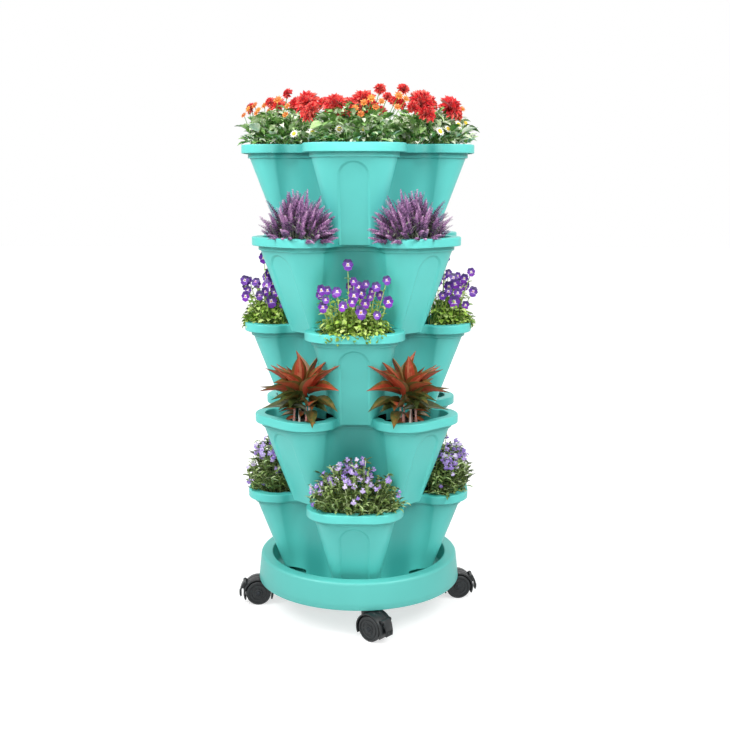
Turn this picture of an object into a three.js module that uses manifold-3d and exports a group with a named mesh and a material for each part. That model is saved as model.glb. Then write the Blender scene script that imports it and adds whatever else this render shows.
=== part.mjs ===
// A planted tower of five stacking clover pots on a round tray with four braked swivel casters.
// Millimetres, +Z up. The origin is on the floor under the tower's axis, and the front is -Y.
import * as THREE from 'three';
import { mergeVertices } from 'three/addons/utils/BufferGeometryUtils.js';
import Module from 'manifold-3d';

const wasm = await Module();
wasm.setup();

// Whole tower
const tierCount = 5;
const lobeCount = 4;
const seatGap = 0.3; // between pieces that rest on or in each other
const cutOverrun = 3; // how far a cutter runs past what it cuts

// Pot, plan at the rim: four rounded lobes with a flat seat between each two
const rimTip = 175; // axis to the front of a lobe
const rimLobeHalf = 73.7; // half width of a lobe
const rimCornerRadius = 53;
const cornerSteps = 3;
const rimValley = 109.5; // axis to the seat's flat
const rimSeatHalf = 30; // half width of the seat

// Pot, plan at the foot
const footTip = 116;
const footHalf = 25; // half width of a lobe's front
const footCornerRadius = 8;
const footValley = 91;
const footSeatHalf = 40;
const footShoulderShare = 0.5; // where the shoulder lies between front corner and valley corner

// Pot, heights and walls
const potHeight = 143.5;
const bandHeight = 12.7; // the rim's outer skirt
const stepHeight = 7.1; // the smaller step under the band
const bandOverhang = 9.6; // band to step
const stepOverhang = 3; // step to body
const wall = 3;
const lipThickness = 2.6;
const floorRaise = 10.4; // the floor stands this far above the foot's edge
const floorThickness = 3;

// Pot, details
const notchWidth = 33;
const notchOffset = 3; // towards the lobe's front
const notchClearance = 0.5; // above the raised floor's underside
const notchDepth = 40;
const panelWidth = 46; // the sunk arch on each lobe's front
const panelDepth = 1.5;
const panelTopMargin = 5; // under the step
const panelSegments = 3;
const drainRadius = 4;
const drainPlace = 66; // axis to each drain hole

// Soil and plants
const soilDrop = 20; // rim to soil
const soilGap = 1;
const soilCornerSteps = 1;
const clumpSides = 8;

// Tray
const trayHeight = 42.5;
const trayFloorLift = 9; // lower edge to the top of the tray's floor
const recessMargin = 23.9; // from the lowest pot's foot to the recess's wall
const trayRingWidth = 19; // the flat ring round the recess
const trayFlare = 4;
const trayEdgeRound = 3;
const trayWall = 3;
const traySides = 48;
const bossRadius = 9;

// Casters
const casterTurn = 7; // degrees that the first caster lies to the right of the front
const pivotInset = 12.9; // the tray's foot to each swivel axis
const hoodClearance = 2; // the hood's top to the tray's lower edge
const casterSwings = [
  { name: 'front', swing: 45 },
  { name: 'right', swing: 0 },
  { name: 'back', swing: 45 },
  { name: 'left', swing: 0 },
];
const trail = 15; // swivel axis to axle
const wheelRadius = 20.5;
const wheelWidth = 8.7;
const wheelBevel = 1.5;
const webThickness = 10; // between the two wheels
const axleRadius = 2;
const axleHeadRadius = 4;
const axleHeadThickness = 1.2;
const hoodInnerRadius = 22;
const hoodThickness = 2.5;
const hoodReach = 26; // degrees that the hood comes down past level, front and back
const stemRadius = 3;
const stemDepth = 17; // down into the hood
const stemRise = 28; // up into the tray's boss
const collarRadius = 6.5;
const collarThickness = 1.2;
const neckRadius = 8;
const neckDrop = 8.5; // below the collar
const columnRadius = 4.9;
const axleBossRadius = 6.5;
const casterSides = 12;
const wheelSides = 14;
const pinSides = 8;
const roundSegments = 4; // each plate's quarter or arc
const hoodSegments = 7;
const padSegments = 3;

// Brake pedal
const hingeTurn = 36; // degrees above level, round the axle
const hingeReach = 27.2; // axle to the pedal's hinge
const hingePinRadius = 1.2;
const hingeBarrelRadius = 2.4;
const lugRadius = 3.2;
const lugThickness = 2.5;
const pedalWidth = 15.6;
const pedalThickness = 2.4;
const pedalNear = 27.3; // axle to the pedal's inner face at its hinge
const pedalFar = 28.4; // and at its tip
const pedalTipTurn = -13;
const pedalSegments = 6;
const padTurn = 21;
const padLength = 4.5;
const padReach = 21.8; // axle to the pad's face
const windowMargin = 1.4; // round the pad, in the hood

// Each kind of plant: height over the rim, and spread from its middle outwards and sideways
const lobeliaHeight = 80;
const lobeliaReach = 41;
const lobeliaSpread = 62;
const aglaonemaHeight = 96;
const aglaonemaReach = 42;
const aglaonemaSpread = 62;
const violaHeight = 84;
const violaReach = 40;
const violaSpread = 56;
const lavenderHeight = 80;
const lavenderReach = 43;
const lavenderSpread = 64;
const dahliaHeight = 88;
const dahliaReach = 72;
const dahliaSpread = 60;
const footShare = 0.66; // of that spread, at the soil
const dahliaFootShare = 0.52;
const clumpCentre = 141; // tower axis to the middle of a pocket's plants
const topClumpCentre = 106;
const clumpFootPull = 11; // how much nearer the axis a clump's foot is than its crown
const clumpRimClearance = 1;
const clumpBulge = 9; // the height over which a clump widens above the rim
const clumpLevels = [
  { heightShare: 0.5, widthShare: 0.97 },
  { heightShare: 0.82, widthShare: 0.66 },
  { heightShare: 1, widthShare: 0.25 },
];

const plantings = [
  { name: 'lobelia', height: lobeliaHeight, reach: lobeliaReach, spread: lobeliaSpread },
  { name: 'aglaonema', height: aglaonemaHeight, reach: aglaonemaReach, spread: aglaonemaSpread },
  { name: 'viola', height: violaHeight, reach: violaReach, spread: violaSpread },
  { name: 'lavender', height: lavenderHeight, reach: lavenderReach, spread: lavenderSpread },
  { name: 'dahlia', height: dahliaHeight, reach: dahliaReach, spread: dahliaSpread },
];
const bodyInset = bandOverhang + stepOverhang;
const tierPitch = potHeight - floorRaise + seatGap;
const recessRadius = footTip + recessMargin;
const trayTopRadius = recessRadius + trayRingWidth;
const trayFootRadius = trayTopRadius + trayFlare;
const pivotRadius = trayFootRadius - pivotInset;

// In a caster's own frame the swivel axis is Z, the caster trails to +X and the axle lies along Y.
// The wheels are many-sided and stand on one side.
const axle = new THREE.Vector2(trail, wheelRadius * Math.cos(Math.PI / wheelSides));
const hoodRadius = hoodInnerRadius + hoodThickness;
const casterHeight = axle.y + hoodRadius + hoodClearance; // floor to the tray's lower edge
const trayFloorTop = casterHeight + trayFloorLift;
const firstPotFoot = trayFloorTop + seatGap;
const casterTop = casterHeight - seatGap;

const materials = {
  pot: new THREE.MeshStandardMaterial({ color: '#5cc9c0', roughness: 0.45, metalness: 0 }),
  tray: new THREE.MeshStandardMaterial({ color: '#58bdb4', roughness: 0.5, metalness: 0 }),
  soil: new THREE.MeshStandardMaterial({ color: '#2e2219', roughness: 1, metalness: 0 }),
  leaf: new THREE.MeshStandardMaterial({ color: '#5d8a3a', roughness: 0.7, metalness: 0 }),
  hood: new THREE.MeshStandardMaterial({ color: '#1a1c1e', roughness: 0.4, metalness: 0 }),
  tyre: new THREE.MeshStandardMaterial({ color: '#232527', roughness: 0.6, metalness: 0 }),
  steel: new THREE.MeshStandardMaterial({ color: '#9a9da0', roughness: 0.35, metalness: 1 }),
};

const radians = THREE.MathUtils.degToRad;

// Solids: three.js geometry to a manifold solid and back
function toSolid(geometry) {
  const bare = geometry.index ? geometry.clone() : mergeVertices(geometry);
  bare.deleteAttribute('normal');
  bare.deleteAttribute('uv');
  const merged = mergeVertices(bare);
  const vertProperties = new Float32Array(merged.attributes.position.array);
  const triVerts = new Uint32Array(merged.index.array);
  return new wasm.Manifold(new wasm.Mesh({ numProp: 3, vertProperties, triVerts }));
}

function toGeometry(solid) {
  const mesh = solid.getMesh();
  const geometry = new THREE.BufferGeometry();
  geometry.setAttribute('position', new THREE.BufferAttribute(mesh.vertProperties, mesh.numProp));
  geometry.setIndex(new THREE.BufferAttribute(mesh.triVerts, 1));
  geometry.computeVertexNormals();
  return geometry;
}

// Plans: a lobe's corners on one side of its centre line, mirrored and turned into a whole clover
function fullPlan(halfLobe) {
  const mirrored = halfLobe.map((corner) => ({ ...corner, y: -corner.y })).reverse();
  const lobe = [...mirrored, ...halfLobe];
  const corners = [];
  for (let i = 0; i < lobeCount; i += 1) {
    const turn = (i * 2 * Math.PI) / lobeCount;
    const cos = Math.cos(turn);
    const sin = Math.sin(turn);
    for (const { x, y, r } of lobe) {
      corners.push({ x: x * cos - y * sin, y: x * sin + y * cos, r });
    }
  }
  return corners;
}

function valleyCorner(valley, seatHalf) {
  return { x: (valley + seatHalf) * Math.SQRT1_2, y: (valley - seatHalf) * Math.SQRT1_2 };
}

const shoulderPlaces = [1, 4]; // among the six corners of a lobe
const rimPlan = fullPlan([
  { x: rimTip, y: rimLobeHalf, r: rimCornerRadius },
  { x: rimLobeHalf + rimSeatHalf * Math.SQRT2, y: rimLobeHalf, r: 0 },
  { ...valleyCorner(rimValley, rimSeatHalf), r: 0 },
]);

const footFront = new THREE.Vector2(footTip, footHalf);
const footInner = valleyCorner(footValley, footSeatHalf);
const footShoulder = footFront.clone().lerp(footInner, footShoulderShare);
const footPlan = fullPlan([
  { x: footFront.x, y: footFront.y, r: footCornerRadius },
  { x: footShoulder.x, y: footShoulder.y, r: 0 },
  { ...footInner, r: 0 },
]);

// Moves every side of a plan inwards by one distance
function insetPlan(plan, distance) {
  const count = plan.length;
  const normals = plan.map((corner, i) => {
    const next = plan[(i + 1) % count];
    return new THREE.Vector2(corner.y - next.y, next.x - corner.x).normalize();
  });
  return plan.map((corner, i) => {
    const before = normals[(i + count - 1) % count];
    const after = normals[i];
    const mitre = before.clone().add(after).multiplyScalar(distance / (1 + before.dot(after)));
    const r = corner.r === 0 ? 0 : corner.r - Math.sign(before.cross(after)) * distance;
    return { x: corner.x + mitre.x, y: corner.y + mitre.y, r };
  });
}

function blendPlans(from, to, share) {
  return from.map((corner, i) => ({
    x: THREE.MathUtils.lerp(corner.x, to[i].x, share),
    y: THREE.MathUtils.lerp(corner.y, to[i].y, share),
    r: THREE.MathUtils.lerp(corner.r, to[i].r, share),
  }));
}

// Rounds a plan's corners into points, a fixed number for each round corner
function roundPlan(plan, steps = cornerSteps) {
  const count = plan.length;
  const points = [];
  plan.forEach((corner, i) => {
    const before = plan[(i + count - 1) % count];
    const after = plan[(i + 1) % count];
    const here = new THREE.Vector2(corner.x, corner.y);
    if (corner.r === 0) {
      points.push(here);
      return;
    }
    const inward = new THREE.Vector2(before.x, before.y).sub(here).normalize();
    const outward = new THREE.Vector2(after.x, after.y).sub(here).normalize();
    const half = Math.acos(THREE.MathUtils.clamp(inward.dot(outward), -1, 1)) / 2;
    const centre = inward.clone().add(outward).normalize();
    centre.multiplyScalar(corner.r / Math.sin(half)).add(here);
    const start = here.clone().addScaledVector(inward, corner.r / Math.tan(half)).sub(centre);
    const end = here.clone().addScaledVector(outward, corner.r / Math.tan(half)).sub(centre);
    const sweep = Math.atan2(start.cross(end), start.dot(end));
    for (let step = 0; step <= steps; step += 1) {
      const turned = start.clone().rotateAround(new THREE.Vector2(), (sweep * step) / steps);
      points.push(turned.add(centre));
    }
  });
  return points;
}

const bodyTopPlan = insetPlan(rimPlan, bodyInset);
const bodyTop = potHeight - bandHeight - stepHeight;

// The outer wall's plan at a height above the foot, up to the step under the rim
function bodyPlan(height) {
  return blendPlans(footPlan, bodyTopPlan, height / bodyTop);
}

// Joins rings of equally many points into one closed solid, with a fan at each end
function loft(rings) {
  const count = rings[0].points.length;
  const positions = [];
  for (const { points, z } of rings) {
    for (const point of points) positions.push(point.x, point.y, z);
  }
  const index = [];
  for (let ring = 0; ring + 1 < rings.length; ring += 1) {
    for (let i = 0; i < count; i += 1) {
      const a = ring * count + i;
      const b = ring * count + ((i + 1) % count);
      // Twisted sides split along the same diagonal on the way up and on the way down
      if (rings[ring].z > rings[ring + 1].z) index.push(a, b, b + count, a, b + count, a + count);
      else index.push(a, b, a + count, b, b + count, a + count);
    }
  }
  const ends = [
    { ring: 0, flip: true },
    { ring: rings.length - 1, flip: false },
  ];
  for (const { ring, flip } of ends) {
    const { points, z } = rings[ring];
    const middle = points.reduce((sum, point) => sum.add(point), new THREE.Vector2());
    middle.divideScalar(count);
    const centre = positions.length / 3;
    positions.push(middle.x, middle.y, z);
    for (let i = 0; i < count; i += 1) {
      const a = ring * count + i;
      const b = ring * count + ((i + 1) % count);
      index.push(centre, flip ? b : a, flip ? a : b);
    }
  }
  const geometry = new THREE.BufferGeometry();
  geometry.setAttribute('position', new THREE.Float32BufferAttribute(positions, 3));
  geometry.setIndex(index);
  return geometry;
}

function boxAt(width, depth, height, centre) {
  return new THREE.BoxGeometry(width, depth, height).translate(centre.x, centre.y, centre.z);
}

// Pot
function potShell() {
  const bandBottom = potHeight - bandHeight;
  const lipUnder = potHeight - lipThickness;
  const step = insetPlan(rimPlan, bandOverhang);
  const innerAt = (height) => insetPlan(bodyPlan(height), wall);
  const floorTop = floorRaise + floorThickness;
  const levels = [
    [innerAt(floorRaise), floorRaise],
    [innerAt(0), 0],
    [bodyPlan(0), 0],
    [bodyTopPlan, bodyTop],
    [step, bodyTop],
    [step, lipUnder],
    [insetPlan(rimPlan, lipThickness), lipUnder],
    [insetPlan(rimPlan, lipThickness), bandBottom],
    [rimPlan, bandBottom],
    [rimPlan, potHeight],
    [insetPlan(bodyTopPlan, wall), potHeight],
    [insetPlan(bodyTopPlan, wall), bodyTop],
    [innerAt(floorTop), floorTop],
  ];
  return toSolid(loft(levels.map(([plan, z]) => ({ points: roundPlan(plan), z }))));
}

// The slots in the foot's edge, where the rim below passes and water drains
function notchCutters() {
  const corner = new THREE.Vector2(footInner.x, footInner.y);
  const bearing = corner.angle();
  const height = floorRaise + notchClearance + cutOverrun;
  const cutters = [];
  for (let i = 0; i < lobeCount; i += 1) {
    for (const side of [1, -1]) {
      const centre = new THREE.Vector3(corner.length(), -side * notchOffset, height / 2 - cutOverrun);
      const box = boxAt(notchDepth, notchWidth, height, centre);
      box.rotateZ((i * 2 * Math.PI) / lobeCount + side * bearing);
      cutters.push(toSolid(box));
    }
  }
  return cutters;
}

// A prism with the arch's outline, lying on the lobe's sloping front. Its far face is the panel.
function panelPrism() {
  const slope = Math.atan2(rimTip - bodyInset - footTip, bodyTop);
  const slant = (bodyTop - panelTopMargin) / Math.cos(slope);
  const half = panelWidth / 2;
  const outline = new THREE.Shape();
  outline.moveTo(-half, -cutOverrun);
  outline.lineTo(half, -cutOverrun);
  outline.lineTo(half, slant - half);
  outline.absarc(0, slant - half, half, 0, Math.PI, false);
  outline.closePath();
  const prism = new THREE.ExtrudeGeometry(outline, {
    depth: cutOverrun + panelDepth,
    bevelEnabled: false,
    curveSegments: panelSegments,
  });
  // Outline x runs along the lobe's width and outline y up its slope
  prism.translate(0, 0, -panelDepth);
  prism.rotateX(Math.PI / 2);
  prism.rotateZ(Math.PI / 2);
  prism.rotateY(slope);
  prism.translate(footTip, 0, 0);
  return prism;
}

function potGeometry() {
  let pot = potShell();
  for (let i = 0; i < lobeCount; i += 1) {
    const turn = (i * 2 * Math.PI) / lobeCount;
    pot = pot.subtract(toSolid(panelPrism().rotateZ(turn)));
    const length = floorRaise + floorThickness;
    const drain = new THREE.CylinderGeometry(drainRadius, drainRadius, length, pinSides);
    drain.rotateX(Math.PI / 2).translate(drainPlace, 0, floorRaise + floorThickness / 2).rotateZ(turn);
    pot = pot.subtract(toSolid(drain));
  }
  for (const cutter of notchCutters()) pot = pot.subtract(cutter);
  return toGeometry(pot);
}

// Soil fills a pot from its floor to a little under the rim. It runs straight past the lobes' shoulders.
function soilGeometry() {
  const bottom = floorRaise + floorThickness + soilGap;
  const top = potHeight - soilDrop;
  const ringAt = (z) => {
    const plan = insetPlan(bodyPlan(z), wall + soilGap);
    const isShoulder = (i) => shoulderPlaces.includes(i % (plan.length / lobeCount));
    return { points: roundPlan(plan.filter((_, i) => !isShoulder(i)), soilCornerSteps), z };
  };
  return loft([ringAt(bottom), ringAt(top)]);
}

// A clump of plants: a plain crown over a narrower foot, with its lobe along +X
function clumpGeometry({ height, reach, spread }, centre, share) {
  const ring = (x, a, b, z) => ({
    points: Array.from({ length: clumpSides }, (_, i) => {
      const turn = (i * 2 * Math.PI) / clumpSides;
      return new THREE.Vector2(x + a * Math.cos(turn), b * Math.sin(turn));
    }),
    z,
  });
  const foot = centre - clumpFootPull;
  const footReach = reach * share;
  const footSpread = spread * share;
  const rings = [
    ring(foot, footReach, footSpread, potHeight - soilDrop + seatGap),
    ring(foot, footReach, footSpread, potHeight + clumpRimClearance),
    ring(centre, reach, spread, potHeight + clumpBulge),
  ];
  for (const { heightShare, widthShare } of clumpLevels) {
    rings.push(ring(centre, reach * widthShare, spread * widthShare, potHeight + height * heightShare));
  }
  return loft(rings);
}

// Tray: a round dish with a broad hollow ring, and a boss under the ring for each caster
function trayGeometry() {
  const top = casterHeight + trayHeight;
  const ceiling = top - trayWall;
  const profile = [
    [0, trayFloorTop - trayWall],
    [recessRadius + trayWall, trayFloorTop - trayWall],
    [recessRadius + trayWall, ceiling],
    [trayTopRadius - trayWall, ceiling],
    [trayFootRadius - trayWall, casterHeight],
    [trayFootRadius, casterHeight],
    [trayTopRadius, top - trayEdgeRound],
    [trayTopRadius - trayEdgeRound, top],
    [recessRadius + trayEdgeRound / 2, top],
    [recessRadius, top - trayEdgeRound / 2],
    [recessRadius, trayFloorTop],
    [0, trayFloorTop],
  ];
  const points = profile.map(([r, z]) => new THREE.Vector2(r, z));
  let tray = toSolid(new THREE.LatheGeometry(points, traySides).rotateX(Math.PI / 2));
  const bossHeight = ceiling + trayWall / 2 - casterHeight;
  for (const { pivot } of casterPlaces()) {
    const boss = new THREE.CylinderGeometry(bossRadius, bossRadius, bossHeight, casterSides);
    boss.rotateX(Math.PI / 2).translate(pivot.x, pivot.y, casterHeight + bossHeight / 2);
    const bore = new THREE.CylinderGeometry(
      stemRadius + seatGap,
      stemRadius + seatGap,
      stemRise + seatGap + cutOverrun,
      pinSides,
    );
    const boreMiddle = casterHeight + (stemRise + seatGap - cutOverrun) / 2;
    bore.rotateX(Math.PI / 2).translate(pivot.x, pivot.y, boreMiddle);
    tray = tray.add(toSolid(boss)).subtract(toSolid(bore));
  }
  return toGeometry(tray);
}

// Casters stand a quarter turn apart. Each trails straight out, or swung round by its own angle.
function casterPlaces() {
  return casterSwings.map(({ name, swing }, i) => {
    const bearing = radians(casterTurn + (i - 1) * 90);
    const pivot = new THREE.Vector2(Math.cos(bearing), Math.sin(bearing)).multiplyScalar(pivotRadius);
    return { name, pivot, heading: bearing + radians(swing) };
  });
}

// An outline in the X-Z plane made into a plate centred on y
function plate(outline, thickness, y = 0, curveSegments = roundSegments) {
  const geometry = new THREE.ExtrudeGeometry(outline, {
    depth: thickness,
    bevelEnabled: false,
    curveSegments,
  });
  return geometry.rotateX(Math.PI / 2).translate(0, y + thickness / 2, 0);
}

function discOutline(centre, radius) {
  const outline = new THREE.Shape();
  outline.absarc(centre.x, centre.y, radius, 0, 2 * Math.PI, false);
  return outline;
}

function aroundAxle(radius, degrees) {
  const turn = radians(degrees);
  return new THREE.Vector2(Math.cos(turn), Math.sin(turn)).multiplyScalar(radius).add(axle);
}

function ringSector(inner, outer, fromDegrees, toDegrees) {
  const outline = new THREE.Shape();
  outline.absarc(axle.x, axle.y, outer, radians(fromDegrees), radians(toDegrees), false);
  outline.absarc(axle.x, axle.y, inner, radians(toDegrees), radians(fromDegrees), true);
  outline.closePath();
  return outline;
}

function upright(radius, from, to, sides = casterSides) {
  return new THREE.CylinderGeometry(radius, radius, to - from, sides)
    .rotateX(Math.PI / 2)
    .translate(0, 0, (from + to) / 2);
}

const casterWidth = webThickness + 2 * (seatGap + wheelWidth);
const hinge = aroundAxle(hingeReach, hingeTurn);
const lugPlace = (pedalWidth + lugThickness) / 2 + seatGap;
const neckTop = casterTop - collarThickness - seatGap;

function hoodGeometry() {
  const cover = ringSector(hoodInnerRadius, hoodRadius, -hoodReach, 180 + hoodReach);
  const shell = plate(cover, casterWidth + 2 * seatGap, 0, hoodSegments);
  const web = new THREE.Shape();
  web.absarc(axle.x, axle.y, hoodInnerRadius + hoodThickness / 2, 0, Math.PI, false);
  web.closePath();
  const wheelRoom = plate(discOutline(axle, hoodInnerRadius), 2 * casterWidth, 0, hoodSegments);
  const neck = toSolid(upright(neckRadius, neckTop - neckDrop, neckTop)).subtract(toSolid(wheelRoom));
  let hood = toSolid(shell)
    .add(toSolid(plate(web, webThickness)))
    .add(toSolid(plate(discOutline(axle, axleBossRadius), webThickness)))
    .add(toSolid(upright(columnRadius, axle.y, neckTop)))
    .add(neck);
  const lugFoot = aroundAxle(hoodInnerRadius + hoodThickness / 2, hingeTurn);
  const lug = new THREE.Shape();
  const away = hinge.clone().sub(axle).normalize().rotateAround(new THREE.Vector2(), Math.PI / 2);
  lug.absarc(hinge.x, hinge.y, lugRadius, radians(hingeTurn - 90), radians(hingeTurn + 90), false);
  lug.lineTo(lugFoot.x + away.x * lugRadius, lugFoot.y + away.y * lugRadius);
  lug.lineTo(lugFoot.x - away.x * lugRadius, lugFoot.y - away.y * lugRadius);
  lug.closePath();
  for (const side of [1, -1]) hood = hood.add(toSolid(plate(lug, lugThickness, side * lugPlace)));
  const pinBore = plate(discOutline(hinge, hingePinRadius + seatGap), casterWidth);
  const padTurns = (THREE.MathUtils.RAD2DEG * (padLength / 2 + windowMargin)) / hoodInnerRadius;
  const padWindow = plate(
    ringSector(padReach - windowMargin, hingeReach, padTurn - padTurns, padTurn + padTurns),
    pedalWidth + 2 * windowMargin,
    0,
    padSegments,
  );
  const axleBore = plate(discOutline(axle, axleRadius + seatGap), 2 * casterWidth);
  const stemBore = upright(stemRadius + seatGap, neckTop - stemDepth, neckTop + cutOverrun, pinSides);
  for (const cutter of [pinBore, padWindow, axleBore, stemBore]) hood = hood.subtract(toSolid(cutter));
  return toGeometry(hood);
}

function stemGeometry() {
  const profile = [
    [0, neckTop - stemDepth + seatGap],
    [stemRadius, neckTop - stemDepth + seatGap],
    [stemRadius, neckTop + seatGap],
    [collarRadius, neckTop + seatGap],
    [collarRadius, casterTop],
    [stemRadius, casterTop],
    [stemRadius, casterHeight + stemRise],
    [0, casterHeight + stemRise],
  ];
  const points = profile.map(([r, z]) => new THREE.Vector2(r, z));
  return new THREE.LatheGeometry(points, pinSides).rotateX(Math.PI / 2);
}

// Revolves a profile of [radius, distance along the axle] pairs about the axle
function aboutAxle(profile, sides) {
  const points = profile.map(([r, y]) => new THREE.Vector2(r, y));
  return new THREE.LatheGeometry(points, sides).translate(axle.x, 0, axle.y);
}

function wheelGeometry(side) {
  const inner = webThickness / 2 + seatGap;
  const outer = inner + wheelWidth;
  const bore = axleRadius + seatGap;
  const profile = [
    [bore, inner],
    [wheelRadius - wheelBevel, inner],
    [wheelRadius, inner + wheelBevel],
    [wheelRadius, outer - wheelBevel],
    [wheelRadius - wheelBevel, outer],
    [bore, outer],
    [bore, inner],
  ];
  const points = profile.map(([r, y]) => new THREE.Vector2(r, y));
  const wheel = new THREE.LatheGeometry(points, wheelSides).rotateY(Math.PI / wheelSides);
  if (side < 0) wheel.rotateZ(Math.PI);
  return wheel.translate(axle.x, 0, axle.y);
}

function axleGeometry() {
  const face = casterWidth / 2 + seatGap;
  const end = face + axleHeadThickness;
  const profile = [
    [0, -end],
    [axleHeadRadius, -end],
    [axleHeadRadius, -face],
    [axleRadius, -face],
    [axleRadius, face],
    [axleHeadRadius, face],
    [axleHeadRadius, end],
    [0, end],
  ];
  return aboutAxle(profile, pinSides);
}

function pedalGeometry() {
  const outline = new THREE.Shape();
  const edge = (extra) =>
    Array.from({ length: pedalSegments + 1 }, (_, i) => {
      const share = i / pedalSegments;
      const reach = THREE.MathUtils.lerp(pedalNear, pedalFar, share) + extra;
      return aroundAxle(reach, THREE.MathUtils.lerp(hingeTurn, pedalTipTurn, share));
    });
  outline.setFromPoints([...edge(pedalThickness), ...edge(0).reverse()]);
  const padTurns = (THREE.MathUtils.RAD2DEG * padLength) / 2 / padReach;
  const padOuter = pedalNear + pedalThickness / 2;
  const padOutline = ringSector(padReach, padOuter, padTurn - padTurns, padTurn + padTurns);
  const pad = plate(padOutline, pedalWidth, 0, padSegments);
  const barrel = plate(discOutline(hinge, hingeBarrelRadius), pedalWidth);
  const pinLength = 2 * (lugPlace + lugThickness / 2);
  const pin = plate(discOutline(hinge, hingePinRadius), pinLength, 0, padSegments);
  const parts = [pad, barrel, pin].map(toSolid);
  return toGeometry(parts.reduce((sum, solid) => sum.add(solid), toSolid(plate(outline, pedalWidth))));
}

function named(name, geometry, material) {
  const mesh = new THREE.Mesh(geometry, material);
  mesh.name = name;
  return mesh;
}

// Assembly
const tower = new THREE.Group();
tower.add(named('saucer_tray', trayGeometry(), materials.tray));

const casterPieces = {
  stem: [stemGeometry(), materials.steel],
  hood: [hoodGeometry(), materials.hood],
  axle: [axleGeometry(), materials.steel],
  wheel_left: [wheelGeometry(1), materials.tyre],
  wheel_right: [wheelGeometry(-1), materials.tyre],
  brake_pedal: [pedalGeometry(), materials.hood],
};
for (const { name, pivot, heading } of casterPlaces()) {
  const caster = new THREE.Group();
  caster.position.set(pivot.x, pivot.y, 0);
  caster.rotation.z = heading;
  for (const [piece, [geometry, material]] of Object.entries(casterPieces)) {
    caster.add(named(`caster_${name}_${piece}`, geometry, material));
  }
  tower.add(caster);
}

const pot = potGeometry();
const soil = soilGeometry();
for (let tier = 1; tier <= tierCount; tier += 1) {
  const planting = plantings[tier - 1];
  const group = new THREE.Group();
  group.position.z = firstPotFoot + (tier - 1) * tierPitch;
  group.rotation.z = tier % 2 === 0 ? Math.PI / lobeCount : 0;
  group.add(named(`planter_tier_${tier}`, pot, materials.pot));
  group.add(named(`soil_tier_${tier}`, soil, materials.soil));
  const isTop = tier === tierCount;
  const centre = isTop ? topClumpCentre : clumpCentre;
  const clump = clumpGeometry(planting, centre, isTop ? dahliaFootShare : footShare);
  for (let i = 0; i < lobeCount; i += 1) {
    const plant = named(`${planting.name}_${i + 1}`, clump, materials.leaf);
    plant.rotation.z = (i * 2 * Math.PI) / lobeCount - Math.PI / 2;
    group.add(plant);
  }
  tower.add(group);
}

export default tower;
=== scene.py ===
"""Looks of the vertical planter tower: five stacked clover pots with flowers, a round tray and four casters.

Lengths are in millimetres until a mesh is made, and +Z is up. The front is -Y.
"""

import random
from math import acos, atan2, copysign, cos, hypot, pi, radians, sin, sqrt, tan

import bmesh
import bpy
import numpy as np
from mathutils import Matrix, Vector


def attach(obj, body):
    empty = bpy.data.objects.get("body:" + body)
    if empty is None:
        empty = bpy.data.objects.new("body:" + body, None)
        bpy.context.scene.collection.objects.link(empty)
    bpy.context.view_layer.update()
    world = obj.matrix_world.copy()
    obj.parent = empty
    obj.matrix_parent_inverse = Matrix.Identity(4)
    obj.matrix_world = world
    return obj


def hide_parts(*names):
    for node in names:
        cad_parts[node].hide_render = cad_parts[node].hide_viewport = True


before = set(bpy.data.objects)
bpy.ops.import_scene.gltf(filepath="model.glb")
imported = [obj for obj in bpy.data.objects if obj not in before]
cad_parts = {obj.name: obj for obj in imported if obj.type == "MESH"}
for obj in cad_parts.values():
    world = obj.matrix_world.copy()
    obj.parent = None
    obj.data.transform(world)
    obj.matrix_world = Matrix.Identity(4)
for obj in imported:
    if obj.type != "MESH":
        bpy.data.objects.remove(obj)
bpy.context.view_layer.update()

MM = 0.001
WELD = 0.002
SMOOTH_LIMIT = 35  # degrees between faces above which most edges are sharp
FULL_TURN = 2 * pi

# Tower
TIERS = 5
LOBES = 4
SEAT_GAP = 0.3
WHEEL_RADIUS = 20.5 * cos(pi / 14)  # the solid wheels have 14 flat sides and stand on one
HOOD_OUTER = 24.5
TRAY_EDGE = WHEEL_RADIUS + HOOD_OUTER + 2  # floor to the tray's lower edge
TRAY_HEIGHT = 42.5
TRAY_FLOOR = TRAY_EDGE + 9  # floor to the top of the tray's floor
POT_HEIGHT = 143.5
FLOOR_RAISE = 10.4
TIER_PITCH = POT_HEIGHT - FLOOR_RAISE + SEAT_GAP
FIRST_FOOT = TRAY_FLOOR + SEAT_GAP

# Pot
WALL = 3
BAND_HEIGHT = 12.7
STEP_HEIGHT = 7.1
BAND_OVERHANG = 9.6
STEP_OVERHANG = 3
LIP = 2.6
LIP_ROUND = 1.8
EDGE_ROUND = 0.5
POT_FLOOR = 3
BODY_TOP = POT_HEIGHT - BAND_HEIGHT - STEP_HEIGHT
BODY_INSET = BAND_OVERHANG + STEP_OVERHANG
BODY_RINGS = 14
RIM_TIP = 175
FOOT_TIP = 116
PANEL_HALF = 23
PANEL_DEPTH = 1.8
PANEL_DRAFT = 3.4  # how much wider the panel is at its mouth
PANEL_TOP = 5  # under the step
NOTCH_WIDTH = 33
NOTCH_OFFSET = 3
NOTCH_DEPTH = 40
NOTCH_TOP = 10.9
DRAIN_RADIUS = 4
DRAIN_PLACE = 66
DRAIN_SIDES = 20
POT_SMOOTH_LIMIT = 24
SOIL_TOP = 123.5


def srgb(code):
    """A colour written as #rrggbb, as linear values."""
    parts = [int(code[i : i + 2], 16) / 255 for i in (1, 3, 5)]
    return [c / 12.92 if c <= 0.04045 else ((c + 0.055) / 1.055) ** 2.4 for c in parts]


def turned(angle, axis="Z"):
    return Matrix.Rotation(angle, 4, axis)


# Meshes


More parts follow.
